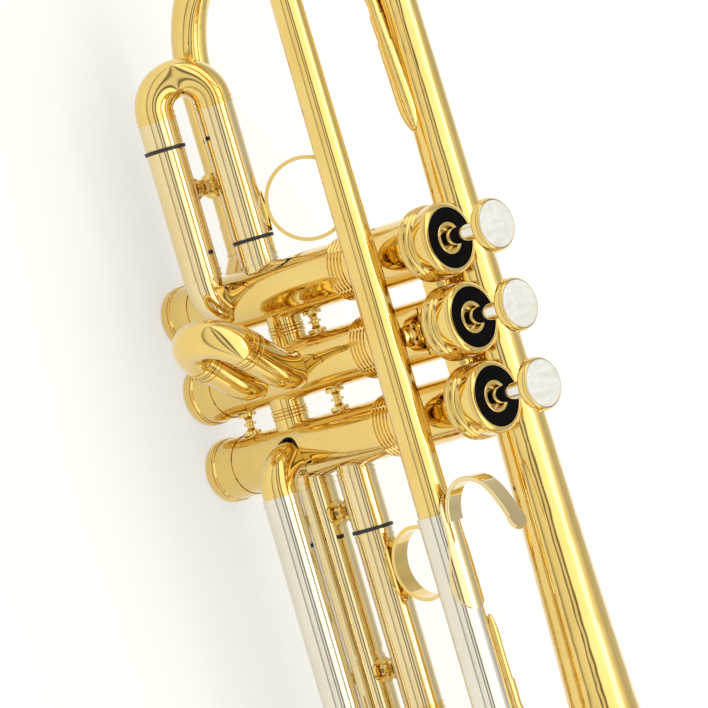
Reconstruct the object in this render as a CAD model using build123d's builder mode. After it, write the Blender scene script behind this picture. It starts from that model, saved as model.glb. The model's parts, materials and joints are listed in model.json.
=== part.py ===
from build123d import *
import math
import os

os.makedirs("parts", exist_ok=True)

# A piston-valve trumpet. +X points to the bell, +Z to the buttons, +Y to the player's left.
# The origin is on the middle valve's axis, half way up the valve block. Millimetres.

# ---------------------------------------------------------------- driving dimensions
# Tubing
slide_outer_dia = 13.2
slide_wall = 0.35
slide_clearance = 0.05      # radial, inner slide tube in outer slide tube
inner_slide_wall = 0.4
elbow_wall = 0.5
knuckle_wall = 0.2
ferrule_rise = 0.3          # how far a ferrule's beads stand out of its tube
ferrule_length = 2.4
seat_gap = 0.3              # between a pushed-in slide and its stop
o_ring_thickness = 1.2
o_ring_rise = 0.5

# Valve block
valve_spacing = 27.0
block_height = 130.4
block_middle_z = -1.2
lower_casing_wall = 1.55
upper_casing_wall = 2.25
casing_band_top = 23.0
casing_band_bottom = 15.0
casing_top_drop = 6.0       # from the top of a cap down to the casing's end
casing_bottom_rise = 9.4    # from the bottom of a cap up to the casing's end
piston_dia = 16.8
piston_clearance = 0.05
piston_top = 12.0
stroke = 16.4
guide_ledge = 18.2
guide_thickness = 2.5
barrel_step = 1.4           # radial, from the piston in to its spring barrel
barrel_wall = 1.0
barrel_rise = 0.6           # how far a barrel stands above its casing
stem_dia = 5.6
button_dia = 18.3
button_height = 5.2
pearl_dia = 15.9
pearl_thickness = 1.4
button_lift = 0.1           # left between the pressed button and its felt
felt_dia = 20.0
felt_hub_dia = 11.2
felt_thickness = 1.6
top_cap_dia = 25.5
top_cap_height = 13.4
bottom_cap_wall = 0.95
bottom_cap_overlap = 3.4    # of its skirt on the casing
cap_floor = 1.8
vent_dia = 3.0
stem_hole_dia = 8.2
spring_wire = 0.9
spring_turns = 7

# Port heights (tube centres)
knuckle_12_z = -20.0
knuckle_23_z = -29.6
brace_heights = (-6.4, -49.4)
casing_brace_flange_dia = 6.4

# Bell
bell_y = 21.5
bell_z = 50.7
bell_rim_x = 238.0
bell_rim_radius = 61.5
bell_wall = 0.7
bell_stem_radius = 7.5      # outside, beside the middle valve, without the flare's share
bell_stem_slope = 0.0125
flare_reach = 15.0          # how quickly the flare opens near the rim
flare_power = 1.5
rim_bead_radius = 1.9
rim_flat = 0.2              # how much of the bead's front is faced off
bow_start_x = -104.0
tail_y = 10.4
tail_z = -38.5
tail_radius = 6.15
tail_end_reach = 27.0       # from the first valve's axis
tail_elbow_reach = 14.0

# Leadpipe, receiver, mouthpiece
leadpipe_y = -18.4
leadpipe_z = 40.1
leadpipe_start_x = -172.0
leadpipe_end_x = 60.0
leadpipe_small_dia = 9.8
leadpipe_wall = 0.7
receiver_end_x = -205.0
receiver_dia = 12.6
shank_insert = 24.0
shank_dia = 9.6
mouthpiece_length = 87.0
mouthpiece_rim_dia = 27.2
cup_dia = 16.4
cup_depth = 11.5

# Main tuning slide
main_low_z = -26.4
main_low_start = 12.7       # from the third valve's axis
main_outer_end_x = 134.0
main_leg_insert = 66.0
crook_ferrule = 7.0

# Water key
key_turn = 20.0             # degrees round the bow from the end of its lower leg
key_reach = 14.6
pivot_drop = 2.6
nipple_height = 2.2
nipple_dia = 5.0
nipple_bore = 3.0
cork_thickness = 2.0
post_gap = 5.2
post_thickness = 1.2
key_pin_dia = 1.6

# Third valve slide; a reach is measured from the third valve's axis
third_y = 1.0
third_high_z = -8.6
third_low_z = -28.4
third_stub_reach = 12.5
third_fixed_reach = 30.6
third_low_reach = 71.0
third_inner_extra = 14.0    # how far the fixed inner tube runs past the low tube
third_crook_extra = 22.0
fixed_brace_reach = 23.5
moving_brace_extra = 7.5
finger_ring_reach = 46.8
finger_ring_dia = 26.0
finger_ring_width = 6.4
ring_thickness = 1.3

# First valve slide, which leans over towards the player's right; a reach is measured
# back from the first valve's axis
first_high = (0.0, -23.3)   # y, z
first_low = (-14.0, -37.7)
first_stub_reach = 11.4
first_fixed_reach = 18.0
first_low_reach = 55.0
first_inner_extra = 4.0     # how far the fixed inner tube runs past the low tube
first_crook_extra = 10.6
thumb_ring_reach = 27.0
thumb_ring_dia = 29.0
thumb_ring_width = 4.2
first_brace_reach = 40.5

# Second valve slide, which leans back by this angle
second_lean = 36.0
second_high_z = -13.0
second_low_z = -32.6
second_turn_y = -10.0
second_turn_radius = 12.0
second_fixed_length = 14.2
second_leg_insert = 12.0

# Braces and hook
leadpipe_brace_z = 46.0
rear_brace_x = -124.0
front_brace_x = 131.0
brace_skew = 10.0           # how much further forward a brace meets the bell
brace_bend_radius = 9.0
brace_dia = 4.0
rear_foot_length = 41.0
front_foot_length = 33.0
spool_flange_dia = 7.0
spool_waist_dia = 3.2
hook_x = 49.8
hook_width = 7.0
hook_thickness = 1.6
hook_height = 28.0
hook_foot_x = 72.7
hook_foot_thickness = 0.9

# ---------------------------------------------------------------- worked-out sizes
slide_outer_bore = slide_outer_dia - 2 * slide_wall
slide_inner_dia = slide_outer_bore - 2 * slide_clearance
bore_dia = slide_inner_dia - 2 * inner_slide_wall
elbow_dia = bore_dia + 2 * elbow_wall
knuckle_dia = bore_dia + 2 * knuckle_wall
crook_dia = slide_outer_dia
o_ring_dia = slide_outer_dia + 2 * o_ring_rise
cap_top = block_middle_z + block_height / 2
block_bottom = block_middle_z - block_height / 2
casing_top = cap_top - casing_top_drop
casing_bottom = block_bottom + casing_bottom_rise
piston_bore_radius = piston_dia / 2 + piston_clearance
lower_casing_dia = 2 * (piston_bore_radius + lower_casing_wall)
upper_casing_dia = 2 * (piston_bore_radius + upper_casing_wall)
barrel_dia = piston_dia - 2 * barrel_step
barrel_top = casing_top + barrel_rise
bottom_cap_radius = lower_casing_dia / 2 + piston_clearance + bottom_cap_wall
valve_xs = (-valve_spacing, 0.0, valve_spacing)
felt_top = cap_top - 0.2
button_bottom = felt_top + button_lift + stroke
button_top = button_bottom + button_height
piston_bottom = block_bottom + cap_floor + 0.5 + stroke
ferrule_dia = slide_outer_dia + 2 * ferrule_rise
casing_radius = lower_casing_dia / 2
main_mid_z = (leadpipe_z + main_low_z) / 2
main_bend_x = main_outer_end_x + seat_gap + crook_ferrule
third_mid_z = (third_high_z + third_low_z) / 2
guide_top = guide_ledge + guide_thickness
top_cap_radius = top_cap_dia / 2
leadpipe_end_dia = slide_inner_dia - 0.1
tail_end_x = valve_xs[0] - tail_end_reach
tail_elbow_x = valve_xs[0] - tail_elbow_reach
main_low_start_x = valve_xs[2] + main_low_start
third_tube_x = valve_xs[2] + third_stub_reach
third_fixed_end_x = valve_xs[2] + third_fixed_reach
third_low_end_x = valve_xs[2] + third_low_reach
third_inner_end_x = third_low_end_x + third_inner_extra
third_crook_x = third_low_end_x + third_crook_extra
fixed_brace_x = valve_xs[2] + fixed_brace_reach
moving_brace_x = third_low_end_x + moving_brace_extra
finger_ring_x = valve_xs[2] + finger_ring_reach
first_tube_x = valve_xs[0] - first_stub_reach
first_fixed_end_x = valve_xs[0] - first_fixed_reach
first_low_end_x = valve_xs[0] - first_low_reach
first_inner_end_x = first_low_end_x - first_inner_extra
first_crook_x = first_low_end_x - first_crook_extra
thumb_ring_x = valve_xs[0] - thumb_ring_reach
first_brace_x = valve_xs[0] - first_brace_reach


def bell_radius(x):
    """Outside radius of the bell at x: a slowly opening stem plus a flare."""
    stem = bell_stem_radius + bell_stem_slope * x
    rim_stem = bell_stem_radius + bell_stem_slope * bell_rim_x
    flare = (flare_reach / (bell_rim_x - x + flare_reach)) ** flare_power
    return stem + (bell_rim_radius - rim_stem) * flare


def leadpipe_radius(x):
    """Outside radius of the tapered leadpipe at x."""
    along = (x - leadpipe_start_x) / (leadpipe_end_x - leadpipe_start_x)
    return (leadpipe_small_dia + (leadpipe_end_dia - leadpipe_small_dia) * along) / 2


# ---------------------------------------------------------------- helpers
def turn(plane, points, mode=Mode.ADD):
    """Revolves a closed outline of (radius, height) points round the plane's Z axis."""
    outline_plane = Plane(origin=plane.origin, x_dir=plane.x_dir, z_dir=-plane.y_dir)
    with BuildSketch(outline_plane) as outline:
        with BuildLine():
            Polyline(*points, close=True)
        make_face()
    revolve(outline.sketch, axis=Axis(plane.origin, plane.z_dir), mode=mode)


def upright(x):
    """A plane on a valve's axis with its Z up."""
    return Plane(origin=(x, 0, 0), x_dir=(1, 0, 0), z_dir=(0, 0, 1))


def forward(x, y, z):
    """A plane with its Z along +X."""
    return Plane(origin=(x, y, z), x_dir=(0, 1, 0), z_dir=(1, 0, 0))


def rod(start, end, dia, mode=Mode.ADD):
    """A round bar between two points."""
    run = Vector(*end) - Vector(*start)
    with BuildSketch(Plane(origin=start, z_dir=run)) as disc:
        Circle(dia / 2)
    extrude(disc.sketch, amount=run.length, mode=mode)


def tube(start, end, outer, inner):
    """A round tube between two points."""
    run = Vector(*end) - Vector(*start)
    with BuildSketch(Plane(origin=start, z_dir=run)) as ring:
        Circle(outer / 2)
        Circle(inner / 2, mode=Mode.SUBTRACT)
    extrude(ring.sketch, amount=run.length)


def bent_tube(points, radius, outer, inner):
    """A round tube along straight runs joined by arcs of one radius."""
    with BuildLine() as route:
        FilletPolyline(*points, radius=radius)
    run = Vector(*points[1]) - Vector(*points[0])
    with BuildSketch(Plane(origin=points[0], z_dir=run)) as ring:
        Circle(outer / 2)
        Circle(inner / 2, mode=Mode.SUBTRACT)
    sweep(ring.sketch, path=route.wires()[0])


def u_bend(plane, spacing, outer, inner):
    """A half-circle bow. The plane's X points out of the bow, its Y to the first leg."""
    with BuildLine(plane) as route:
        CenterArc((0, 0), spacing / 2, 90, -180)
    start = plane.from_local_coords(Vector(0, spacing / 2, 0))
    with BuildSketch(Plane(origin=start, z_dir=plane.x_dir)) as ring:
        Circle(outer / 2)
        Circle(inner / 2, mode=Mode.SUBTRACT)
    sweep(ring.sketch, path=route.wires()[0])


def ferrule(start, direction, dia=ferrule_dia, length=ferrule_length, inner=slide_outer_bore):
    """A short sleeve with a fine bead at each end."""
    bead = 0.5
    outer = dia / 2
    body = outer - ferrule_rise
    outline = [
        (inner / 2, 0),
        (outer, 0),
        (outer, bead),
        (body, bead),
        (body, length - bead),
        (outer, length - bead),
        (outer, length),
        (inner / 2, length),
    ]
    turn(Plane(origin=start, z_dir=direction), outline)


def spool(start, end, flange_dia=spool_flange_dia, waist_dia=spool_waist_dia):
    """A turned brace: a flange at each end, a waist and a ring half way."""
    run = Vector(*end) - Vector(*start)
    length = run.length
    flange = flange_dia / 2
    waist = waist_dia / 2
    half = [(0, 0), (flange, 0), (flange, 0.16 * length), (0.62 * flange, 0.2 * length)]
    half += [(waist, 0.3 * length), (waist, 0.42 * length), (0.7 * flange, 0.45 * length)]
    other = [(radius, length - height) for radius, height in reversed(half)]
    turn(Plane(origin=start, z_dir=run), half + other)


def beads(radius, low, high, count, depth):
    """Outline points, from low to high, of a band of half-round rings."""
    pitch = (high - low) / count
    points = []
    for i in range(count):
        foot = low + i * pitch
        points += [(radius - depth, foot), (radius, foot + 0.25 * pitch)]
        points += [(radius, foot + 0.7 * pitch), (radius - depth, foot + 0.95 * pitch)]
    return points


def saddle(plane, dia, length, width, thickness):
    """A leaf-shaped foot on a tube. The plane's X runs along the tube, its Z away from it."""
    centre = plane.origin
    along = plane.x_dir * (length / 2)
    with BuildPart() as foot:
        tube(tuple(centre - along), tuple(centre + along), dia + 2 * thickness, dia)
        with BuildSketch(plane) as leaf:
            Ellipse(length / 2, width / 2)
        extrude(leaf.sketch, amount=dia, mode=Mode.INTERSECT)
    return foot.part


def leaf_foot(plane, dia, thickness, half_outline):
    """A foot on a tube, its half outline given as (distance along the tube, half width)."""
    reach = plane.x_dir * (half_outline[-1][0] + 1)
    points = half_outline + [(along, -width) for along, width in reversed(half_outline[1:-1])]
    with BuildPart() as foot:
        tube(tuple(plane.origin - reach), tuple(plane.origin + reach), dia + 2 * thickness, dia)
        with BuildSketch(plane) as leaf:
            with BuildLine():
                Spline(*points, periodic=True)
            make_face()
        extrude(leaf.sketch, amount=dia, mode=Mode.INTERSECT)
    return foot.part


def round_foot(tip, root, shape):
    """A smooth foot along a tube; its shape is (radius, share of its length), from the tip."""
    run = Vector(*root) - Vector(*tip)
    plane = Plane(origin=tip, z_dir=run)
    with BuildSketch(Plane(origin=plane.origin, x_dir=plane.x_dir, z_dir=-plane.y_dir)) as outline:
        with BuildLine():
            side = Spline(*[(radius, share * run.length) for radius, share in shape],
                          tangents=[(1, 0), (0, 1)])
            Polyline(side @ 1, (0, run.length), (0, 0))
        make_face()
    revolve(outline.sketch, axis=Axis(plane.origin, plane.z_dir))


def hoop(plane, dia, width, thickness):
    """A finger ring: a flat band round the plane's Z axis."""
    with BuildSketch(plane) as band:
        Circle(dia / 2)
        Circle(dia / 2 - thickness, mode=Mode.SUBTRACT)
    extrude(band.sketch, amount=width / 2, both=True)


def finish(builder, name):
    """Labels a finished piece and writes it."""
    builder.part.label = name
    export_step(builder.part, f"parts/{name}.step")


# ---------------------------------------------------------------- valve block
# Each port of a casing: the way it faces, then its y and its height
ports = (
    ((Vector(-1, 0, 0), *first_high), (Vector(0, -1, 0), 0, first_low[1]), (Vector(1, 0, 0), 0, knuckle_12_z)),
    ((Vector(-1, 0, 0), 0, knuckle_12_z), (Vector(1, 0, 0), 0, knuckle_23_z),
     (Vector(0, -1, 0), 0, second_high_z), (Vector(0, -1, 0), 0, second_low_z)),
    ((Vector(1, 0, 0), third_y, third_high_z), (Vector(1, 0, 0), third_y, third_low_z),
     (Vector(-1, 0, 0), 0, knuckle_23_z), (Vector(0, -1, 0), 0, main_low_z)),
)

spring_room_radius = piston_dia / 2 + 0.9
casing_outline = [(piston_bore_radius, casing_bottom), (casing_radius, casing_bottom)]
casing_outline += [(casing_radius, casing_band_bottom)]
casing_outline += beads(upper_casing_dia / 2 + 0.2, casing_band_bottom, casing_band_top, 5, 0.5)
casing_outline += [(upper_casing_dia / 2, casing_band_top), (upper_casing_dia / 2, casing_top)]
casing_outline += [(spring_room_radius, casing_top), (spring_room_radius, guide_ledge)]
casing_outline += [(piston_bore_radius, guide_ledge)]

for number, x in enumerate(valve_xs, start=1):
    with BuildPart() as casing:
        turn(upright(x), casing_outline)
        for way, y, height in ports[number - 1]:
            start = Vector(x, y, height)
            rod(tuple(start), tuple(start + way * lower_casing_dia), bore_dia, mode=Mode.SUBTRACT)
        if number == 1:
            rod((x, 0, tail_z), (tail_elbow_x, tail_y, tail_z), bore_dia, mode=Mode.SUBTRACT)
    finish(casing, f"valve_casing_{number}")

cap_bore = upper_casing_dia / 2 + piston_clearance
cap_edge = cap_top - top_cap_height
cap_room = piston_dia / 2 + 0.4
top_cap_outline = [(cap_bore, cap_edge), (cap_bore + 0.85, cap_edge)]
top_cap_outline += beads(top_cap_radius - 0.5, cap_edge + 0.8, cap_edge + 7.8, 4, 0.45)
top_cap_outline += [(top_cap_radius, cap_edge + 9.0), (top_cap_radius, cap_top - 1.8)]
top_cap_outline += [(top_cap_radius - 0.5, cap_top - 0.6)]
top_cap_outline += [(top_cap_radius - 1.2, cap_top), (felt_dia / 2 + 0.1, cap_top)]
top_cap_outline += [(felt_dia / 2 + 0.1, felt_top - felt_thickness)]
top_cap_outline += [(felt_hub_dia / 2 - 0.1, felt_top - felt_thickness)]
top_cap_outline += [(felt_hub_dia / 2 - 0.1, cap_top - 0.4), (stem_hole_dia / 2, cap_top - 0.4)]
top_cap_outline += [(stem_hole_dia / 2, cap_top - 3.0), (stem_dia / 2 + 0.3, cap_top - 3.0)]
top_cap_outline += [(stem_dia / 2 + 0.3, casing_top + 1.0), (cap_room, casing_top + 1.0)]
top_cap_outline += [(cap_room, casing_top), (cap_bore, casing_top)]

with BuildPart() as top_caps:
    for x in valve_xs:
        turn(upright(x), top_cap_outline)
finish(top_caps, "top_caps")

skirt_bore = lower_casing_dia / 2 + piston_clearance
skirt_radius = bottom_cap_radius - 0.5
bottom_room = piston_dia / 2 + 0.3
bottom_cap_outline = [(vent_dia / 2, block_bottom), (bottom_cap_radius - 0.9, block_bottom)]
bottom_cap_outline += [(bottom_cap_radius - 0.3, block_bottom + 0.3), (bottom_cap_radius, block_bottom + 0.9)]
bottom_cap_outline += [(bottom_cap_radius, block_bottom + 3.8), (bottom_cap_radius - 0.3, block_bottom + 4.2)]
bottom_cap_outline += [(bottom_cap_radius - 0.3, block_bottom + 4.6), (bottom_cap_radius, block_bottom + 5.0)]
bottom_cap_outline += [(bottom_cap_radius, block_bottom + 5.4), (skirt_radius, block_bottom + 6.0)]
bottom_cap_outline += [(skirt_radius, casing_bottom + bottom_cap_overlap - 0.3)]
bottom_cap_outline += [(skirt_radius - 0.2, casing_bottom + bottom_cap_overlap)]
bottom_cap_outline += [(skirt_bore, casing_bottom + bottom_cap_overlap), (skirt_bore, casing_bottom)]
bottom_cap_outline += [(bottom_room, casing_bottom), (bottom_room, block_bottom + cap_floor)]
bottom_cap_outline += [(vent_dia / 2, block_bottom + cap_floor)]

with BuildPart() as bottom_caps:
    for x in valve_xs:
        turn(upright(x), bottom_cap_outline)
finish(bottom_caps, "bottom_caps")

with BuildPart() as cap_felts:
    for x in valve_xs:
        tube((x, 0, felt_top - felt_thickness), (x, 0, felt_top), felt_dia, felt_hub_dia)
finish(cap_felts, "cap_felts")

# The passage that is open when a piston is up, from one port mouth to the other
open_ways = {
    1: ((valve_xs[0] + casing_radius, 0, knuckle_12_z), (tail_elbow_x, tail_y, tail_z)),
    2: ((valve_xs[1] - casing_radius, 0, knuckle_12_z), (valve_xs[1] + casing_radius, 0, knuckle_23_z)),
    3: ((valve_xs[2] - casing_radius, 0, knuckle_23_z), (valve_xs[2], -casing_radius, main_low_z)),
}
recess_depth = 4.0

for number, x in enumerate(valve_xs, start=1):
    with BuildPart() as piston:
        rod((x, 0, piston_bottom), (x, 0, piston_top), piston_dia)
        tube((x, 0, piston_top), (x, 0, barrel_top), barrel_dia, barrel_dia - 2 * barrel_wall)
        rod((x, 0, barrel_top - 1.2), (x, 0, barrel_top), barrel_dia - barrel_wall)
        slot_low = guide_ledge - 1.0
        slot_high = guide_top + stroke + 1.0
        with Locations((x, 0, (slot_low + slot_high) / 2)):
            Box(barrel_dia + 2, 3.2, slot_high - slot_low, mode=Mode.SUBTRACT)
        way_start, way_end = open_ways[number]
        middle = (x, 0, (way_start[2] + way_end[2]) / 2)
        rod(middle, way_start, bore_dia - 1.2, mode=Mode.SUBTRACT)
        rod(middle, way_end, bore_dia - 1.2, mode=Mode.SUBTRACT)
        rod((x, piston_dia / 2 - recess_depth, piston_top - 8), (x, piston_dia, piston_top - 8),
            bore_dia - 1.2, mode=Mode.SUBTRACT)
    finish(piston, f"piston_{number}")

    with BuildPart() as spring:
        spring_low = guide_top + spring_wire / 2 + 0.1
        spring_high = barrel_top - 1.2 - spring_wire / 2 - 0.1
        spring_radius = barrel_dia / 2 - barrel_wall - spring_wire / 2 - 0.4
        with BuildLine(Plane(origin=(x, 0, spring_low))) as coil:
            Helix((spring_high - spring_low) / spring_turns, spring_high - spring_low, spring_radius)
        with BuildSketch(Plane(origin=coil.line @ 0, z_dir=coil.line % 0)) as wire:
            Circle(spring_wire / 2)
        sweep(wire.sketch, path=coil.wires()[0], is_frenet=True)
    finish(spring, f"valve_spring_{number}")

    with BuildPart() as stem:
        rod((x, 0, barrel_top), (x, 0, button_bottom), stem_dia)
        fillet(stem.edges().sort_by(Axis.Z)[-1:], 0.3)
    finish(stem, f"stem_{number}")

    button_radius = button_dia / 2
    pearl_floor = button_top - pearl_thickness + 0.35
    button_outline = [(0, button_bottom), (6.4, button_bottom), (7.6, button_bottom + 0.5)]
    button_outline += [(8.4, button_bottom + 1.6), (button_radius - 0.15, button_bottom + 2.6)]
    button_outline += [(button_radius, button_bottom + 3.5), (button_radius - 0.15, button_top - 0.9)]
    button_outline += [(button_radius - 0.6, button_top - 0.3), (pearl_dia / 2 + 0.35, button_top - 0.1)]
    button_outline += [(pearl_dia / 2 + 0.02, button_top - 0.5), (pearl_dia / 2 + 0.02, pearl_floor)]
    button_outline += [(0, pearl_floor)]
    with BuildPart() as button:
        turn(upright(x), button_outline)
    finish(button, f"button_{number}")

    with BuildPart() as pearl:
        rod((x, 0, pearl_floor), (x, 0, pearl_floor + pearl_thickness), pearl_dia)
        fillet(pearl.edges().sort_by(Axis.Z)[-1:], 0.5)
    finish(pearl, f"button_pearl_{number}")

with BuildPart() as guides:
    for x in valve_xs:
        rod((x, 0, guide_ledge), (x, 0, guide_top), barrel_dia - 2 * barrel_wall - 0.6)
        with Locations((x, 0, guide_ledge + guide_thickness / 2)):
            Box(2 * (spring_room_radius - 0.3), 2.4, guide_thickness)
        rod((x, 0, guide_ledge), (x, 0, guide_top), stem_dia, mode=Mode.SUBTRACT)
finish(guides, "valve_guides")


def knuckle_outline(length):
    """Outline of a crossover tube with three rings half way."""
    inner = bore_dia / 2
    outer = knuckle_dia / 2
    middle = length / 2
    points = [(inner, 0), (outer, 0), (outer, middle - 1.8)]
    points += beads(outer + 0.35, middle - 1.8, middle + 1.8, 3, 0.4)
    points += [(outer, middle + 1.8), (outer, length), (inner, length)]
    return points


with BuildPart() as knuckles:
    for x, height in ((valve_xs[0], knuckle_12_z), (valve_xs[1], knuckle_23_z)):
        turn(forward(x, 0, height), knuckle_outline(valve_spacing))
    for x in valve_xs:
        rod((x, 0, casing_bottom), (x, 0, casing_top), lower_casing_dia, mode=Mode.SUBTRACT)
finish(knuckles, "casing_knuckles")

with BuildPart() as turned_braces:
    for x in valve_xs[:2]:
        for height in brace_heights:
            spool((x + casing_radius - 0.3, 0, height), (x + valve_spacing - casing_radius + 0.3, 0, height),
                  flange_dia=casing_brace_flange_dia, waist_dia=2.6)
    for x in valve_xs:
        rod((x, 0, casing_bottom), (x, 0, casing_top), lower_casing_dia, mode=Mode.SUBTRACT)
    spool((fixed_brace_x, third_y, third_low_z + slide_outer_dia / 2 - 1.2),
          (fixed_brace_x, third_y, third_high_z - slide_outer_dia / 2 + 1.2), flange_dia=9.0, waist_dia=4.0)
    for height in (third_high_z, third_low_z):
        rod((fixed_brace_x - 8, third_y, height), (fixed_brace_x + 8, third_y, height), slide_outer_dia,
            mode=Mode.SUBTRACT)
finish(turned_braces, "turned_braces")

# ---------------------------------------------------------------- bell
flare_steps = 16
outer_flare = []
inner_flare = []
for i in range(flare_steps + 1):
    nearness = (i / flare_steps) ** 0.45
    x = bow_start_x + (bell_rim_x - bow_start_x) * nearness
    outer_flare.append((x, bell_radius(x)))
    inner_flare.append((x, bell_radius(x) - bell_wall))

bow_top = Vector(bow_start_x, bell_y, bell_z)
bow_low = Vector(bow_start_x, tail_y, tail_z)
bow_across = bow_top - bow_low
bow_plane = Plane(origin=(bow_top + bow_low) * 0.5, x_dir=(-1, 0, 0),
                  z_dir=Vector(-1, 0, 0).cross(bow_across.normalized()))
bow_start_radius = bell_radius(bow_start_x)

with BuildPart() as bell:
    with BuildSketch(Plane(origin=(0, bell_y, bell_z), x_dir=(1, 0, 0), z_dir=(0, -1, 0))) as wall:
        with BuildLine():
            Spline(*outer_flare)
            Spline(*inner_flare)
            Line(outer_flare[0], inner_flare[0])
            Line(outer_flare[-1], inner_flare[-1])
        make_face()
    revolve(wall.sketch, axis=Axis((0, bell_y, bell_z), (1, 0, 0)))
    with BuildLine(bow_plane) as bow_route:
        CenterArc((0, 0), bow_across.length / 2, 90, -180)
    for shrink, mode in ((0, Mode.ADD), (bell_wall, Mode.SUBTRACT)):
        with BuildSketch(Plane(origin=bow_top, z_dir=(-1, 0, 0))) as bow_mouth:
            Circle(bow_start_radius - shrink)
        with BuildSketch(Plane(origin=bow_low, z_dir=(1, 0, 0))) as bow_end:
            Circle(tail_radius - shrink)
        sweep([bow_mouth.sketch.face(), bow_end.sketch.face()], path=bow_route.wires()[0],
              multisection=True, mode=mode)
    tube(tuple(bow_low), (tail_end_x, tail_y, tail_z), 2 * tail_radius, 2 * (tail_radius - bell_wall))
    # The rolled rim, faced flat in front
    with BuildSketch(Plane(origin=(0, bell_y, bell_z), x_dir=(1, 0, 0), z_dir=(0, -1, 0))) as bead:
        with Locations((bell_rim_x - rim_bead_radius + rim_flat, bell_rim_radius - 0.2)):
            Circle(rim_bead_radius)
        with Locations((bell_rim_x + 2.0, bell_rim_radius)):
            Rectangle(4.0, 8.0, mode=Mode.SUBTRACT)
    revolve(bead.sketch, axis=Axis((0, bell_y, bell_z), (1, 0, 0)))
finish(bell, "bell")

with BuildPart() as tail_elbow:
    bent_tube([(tail_end_x, tail_y, tail_z), (tail_elbow_x, tail_y, tail_z), (valve_xs[0], 0, tail_z)],
              10.0, elbow_dia, bore_dia)
    ferrule((tail_elbow_x - 2.4, tail_y, tail_z), (1, 0, 0), dia=ferrule_dia - 0.4, inner=elbow_dia - 0.2)
    rod((valve_xs[0], 0, casing_bottom), (valve_xs[0], 0, casing_top), lower_casing_dia, mode=Mode.SUBTRACT)
finish(tail_elbow, "bell_tail_elbow")

# ---------------------------------------------------------------- leadpipe and mouthpiece
with BuildPart() as leadpipe:
    pipe_length = leadpipe_end_x - leadpipe_start_x
    pipe_outline = [
        (leadpipe_small_dia / 2 - leadpipe_wall, 0),
        (leadpipe_small_dia / 2, 0),
        (leadpipe_end_dia / 2, pipe_length),
        (leadpipe_end_dia / 2 - leadpipe_wall, pipe_length),
    ]
    turn(forward(leadpipe_start_x, leadpipe_y, leadpipe_z), pipe_outline)
finish(leadpipe, "leadpipe")

shank_small_radius = shank_dia / 2 - 0.6
with BuildPart() as receiver:
    receiver_length = leadpipe_start_x + 6.0 - receiver_end_x
    rad = receiver_dia / 2
    receiver_outline = [
        (shank_dia / 2 + 0.03, 0),
        (rad + 0.6, 0),
        (rad + 0.9, 1.2),
        (rad + 0.6, 2.4),
        (rad - 0.3, 3.2),
        (rad, 6.0),
        (rad - 0.2, 22.0),
        (rad - 1.0, 26.0),
        (rad - 0.2, 30.0),
        (rad - 0.2, 32.0),
        (leadpipe_small_dia / 2 + 0.6, receiver_length),
        (leadpipe_small_dia / 2 + 0.05, receiver_length),
        (leadpipe_small_dia / 2 + 0.05, receiver_length - 6.0),
        (leadpipe_small_dia / 2 - leadpipe_wall, receiver_length - 6.0),
        (shank_small_radius + 0.03, shank_insert + 0.5),
    ]
    turn(forward(receiver_end_x, leadpipe_y, leadpipe_z), receiver_outline)
finish(receiver, "mouthpiece_receiver")

with BuildPart() as mouthpiece:
    rim = mouthpiece_rim_dia / 2
    throat = 1.9
    rim_x = receiver_end_x + shank_insert - mouthpiece_length
    mouthpiece_outline = [
        (cup_dia / 2, 1.6),
        (cup_dia / 2 + 1.6, 0.2),
        (rim - 2.6, 0),
        (rim - 0.7, 0.8),
        (rim, 2.8),
        (rim - 0.5, 5.0),
        (rim - 2.2, 8.0),
        (rim - 2.6, 13.0),
        (rim - 4.6, 19.5),
        (rim - 8.0, 24.0),
        (5.0, 26.5),
        (5.6, 28.0),
        (4.7, 29.5),
        (3.9, 36.0),
        (4.3, 50.0),
        (shank_dia / 2, mouthpiece_length - shank_insert - 4.0),
        (shank_dia / 2, mouthpiece_length - shank_insert),
        (shank_small_radius, mouthpiece_length),
        (shank_small_radius - 0.6, mouthpiece_length),
        (throat, cup_depth + 18.0),
        (throat, cup_depth + 3.0),
        (4.2, cup_depth),
        (cup_dia / 2 - 1.3, 6.5),
    ]
    turn(forward(rim_x, leadpipe_y, leadpipe_z), mouthpiece_outline)
finish(mouthpiece, "mouthpiece")

# ---------------------------------------------------------------- main tuning slide
with BuildPart() as main_outer:
    for start_x, height in ((leadpipe_end_x - 1.0, leadpipe_z), (main_low_start_x, main_low_z)):
        tube((start_x, leadpipe_y, height), (main_outer_end_x, leadpipe_y, height), slide_outer_dia,
             slide_outer_bore)
        ferrule((start_x, leadpipe_y, height), (1, 0, 0))
        ferrule((main_outer_end_x - 4.0, leadpipe_y, height), (1, 0, 0), length=4.0)
finish(main_outer, "main_slide_outer_tubes")

elbow_x = valve_xs[2] + 1.9
with BuildPart() as main_elbow:
    bent_tube([(elbow_x, -3.0, main_low_z), (elbow_x, leadpipe_y, main_low_z),
               (main_low_start_x, leadpipe_y, main_low_z)], 9.4, elbow_dia, bore_dia)
    rod((valve_xs[2], 0, casing_bottom), (valve_xs[2], 0, casing_top), lower_casing_dia, mode=Mode.SUBTRACT)
finish(main_elbow, "third_casing_elbow")

with BuildPart() as main_legs:
    for height in (leadpipe_z, main_low_z):
        tube((main_bend_x - crook_ferrule - main_leg_insert, leadpipe_y, height),
             (main_bend_x, leadpipe_y, height), slide_inner_dia, bore_dia)
finish(main_legs, "main_slide_legs")

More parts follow.
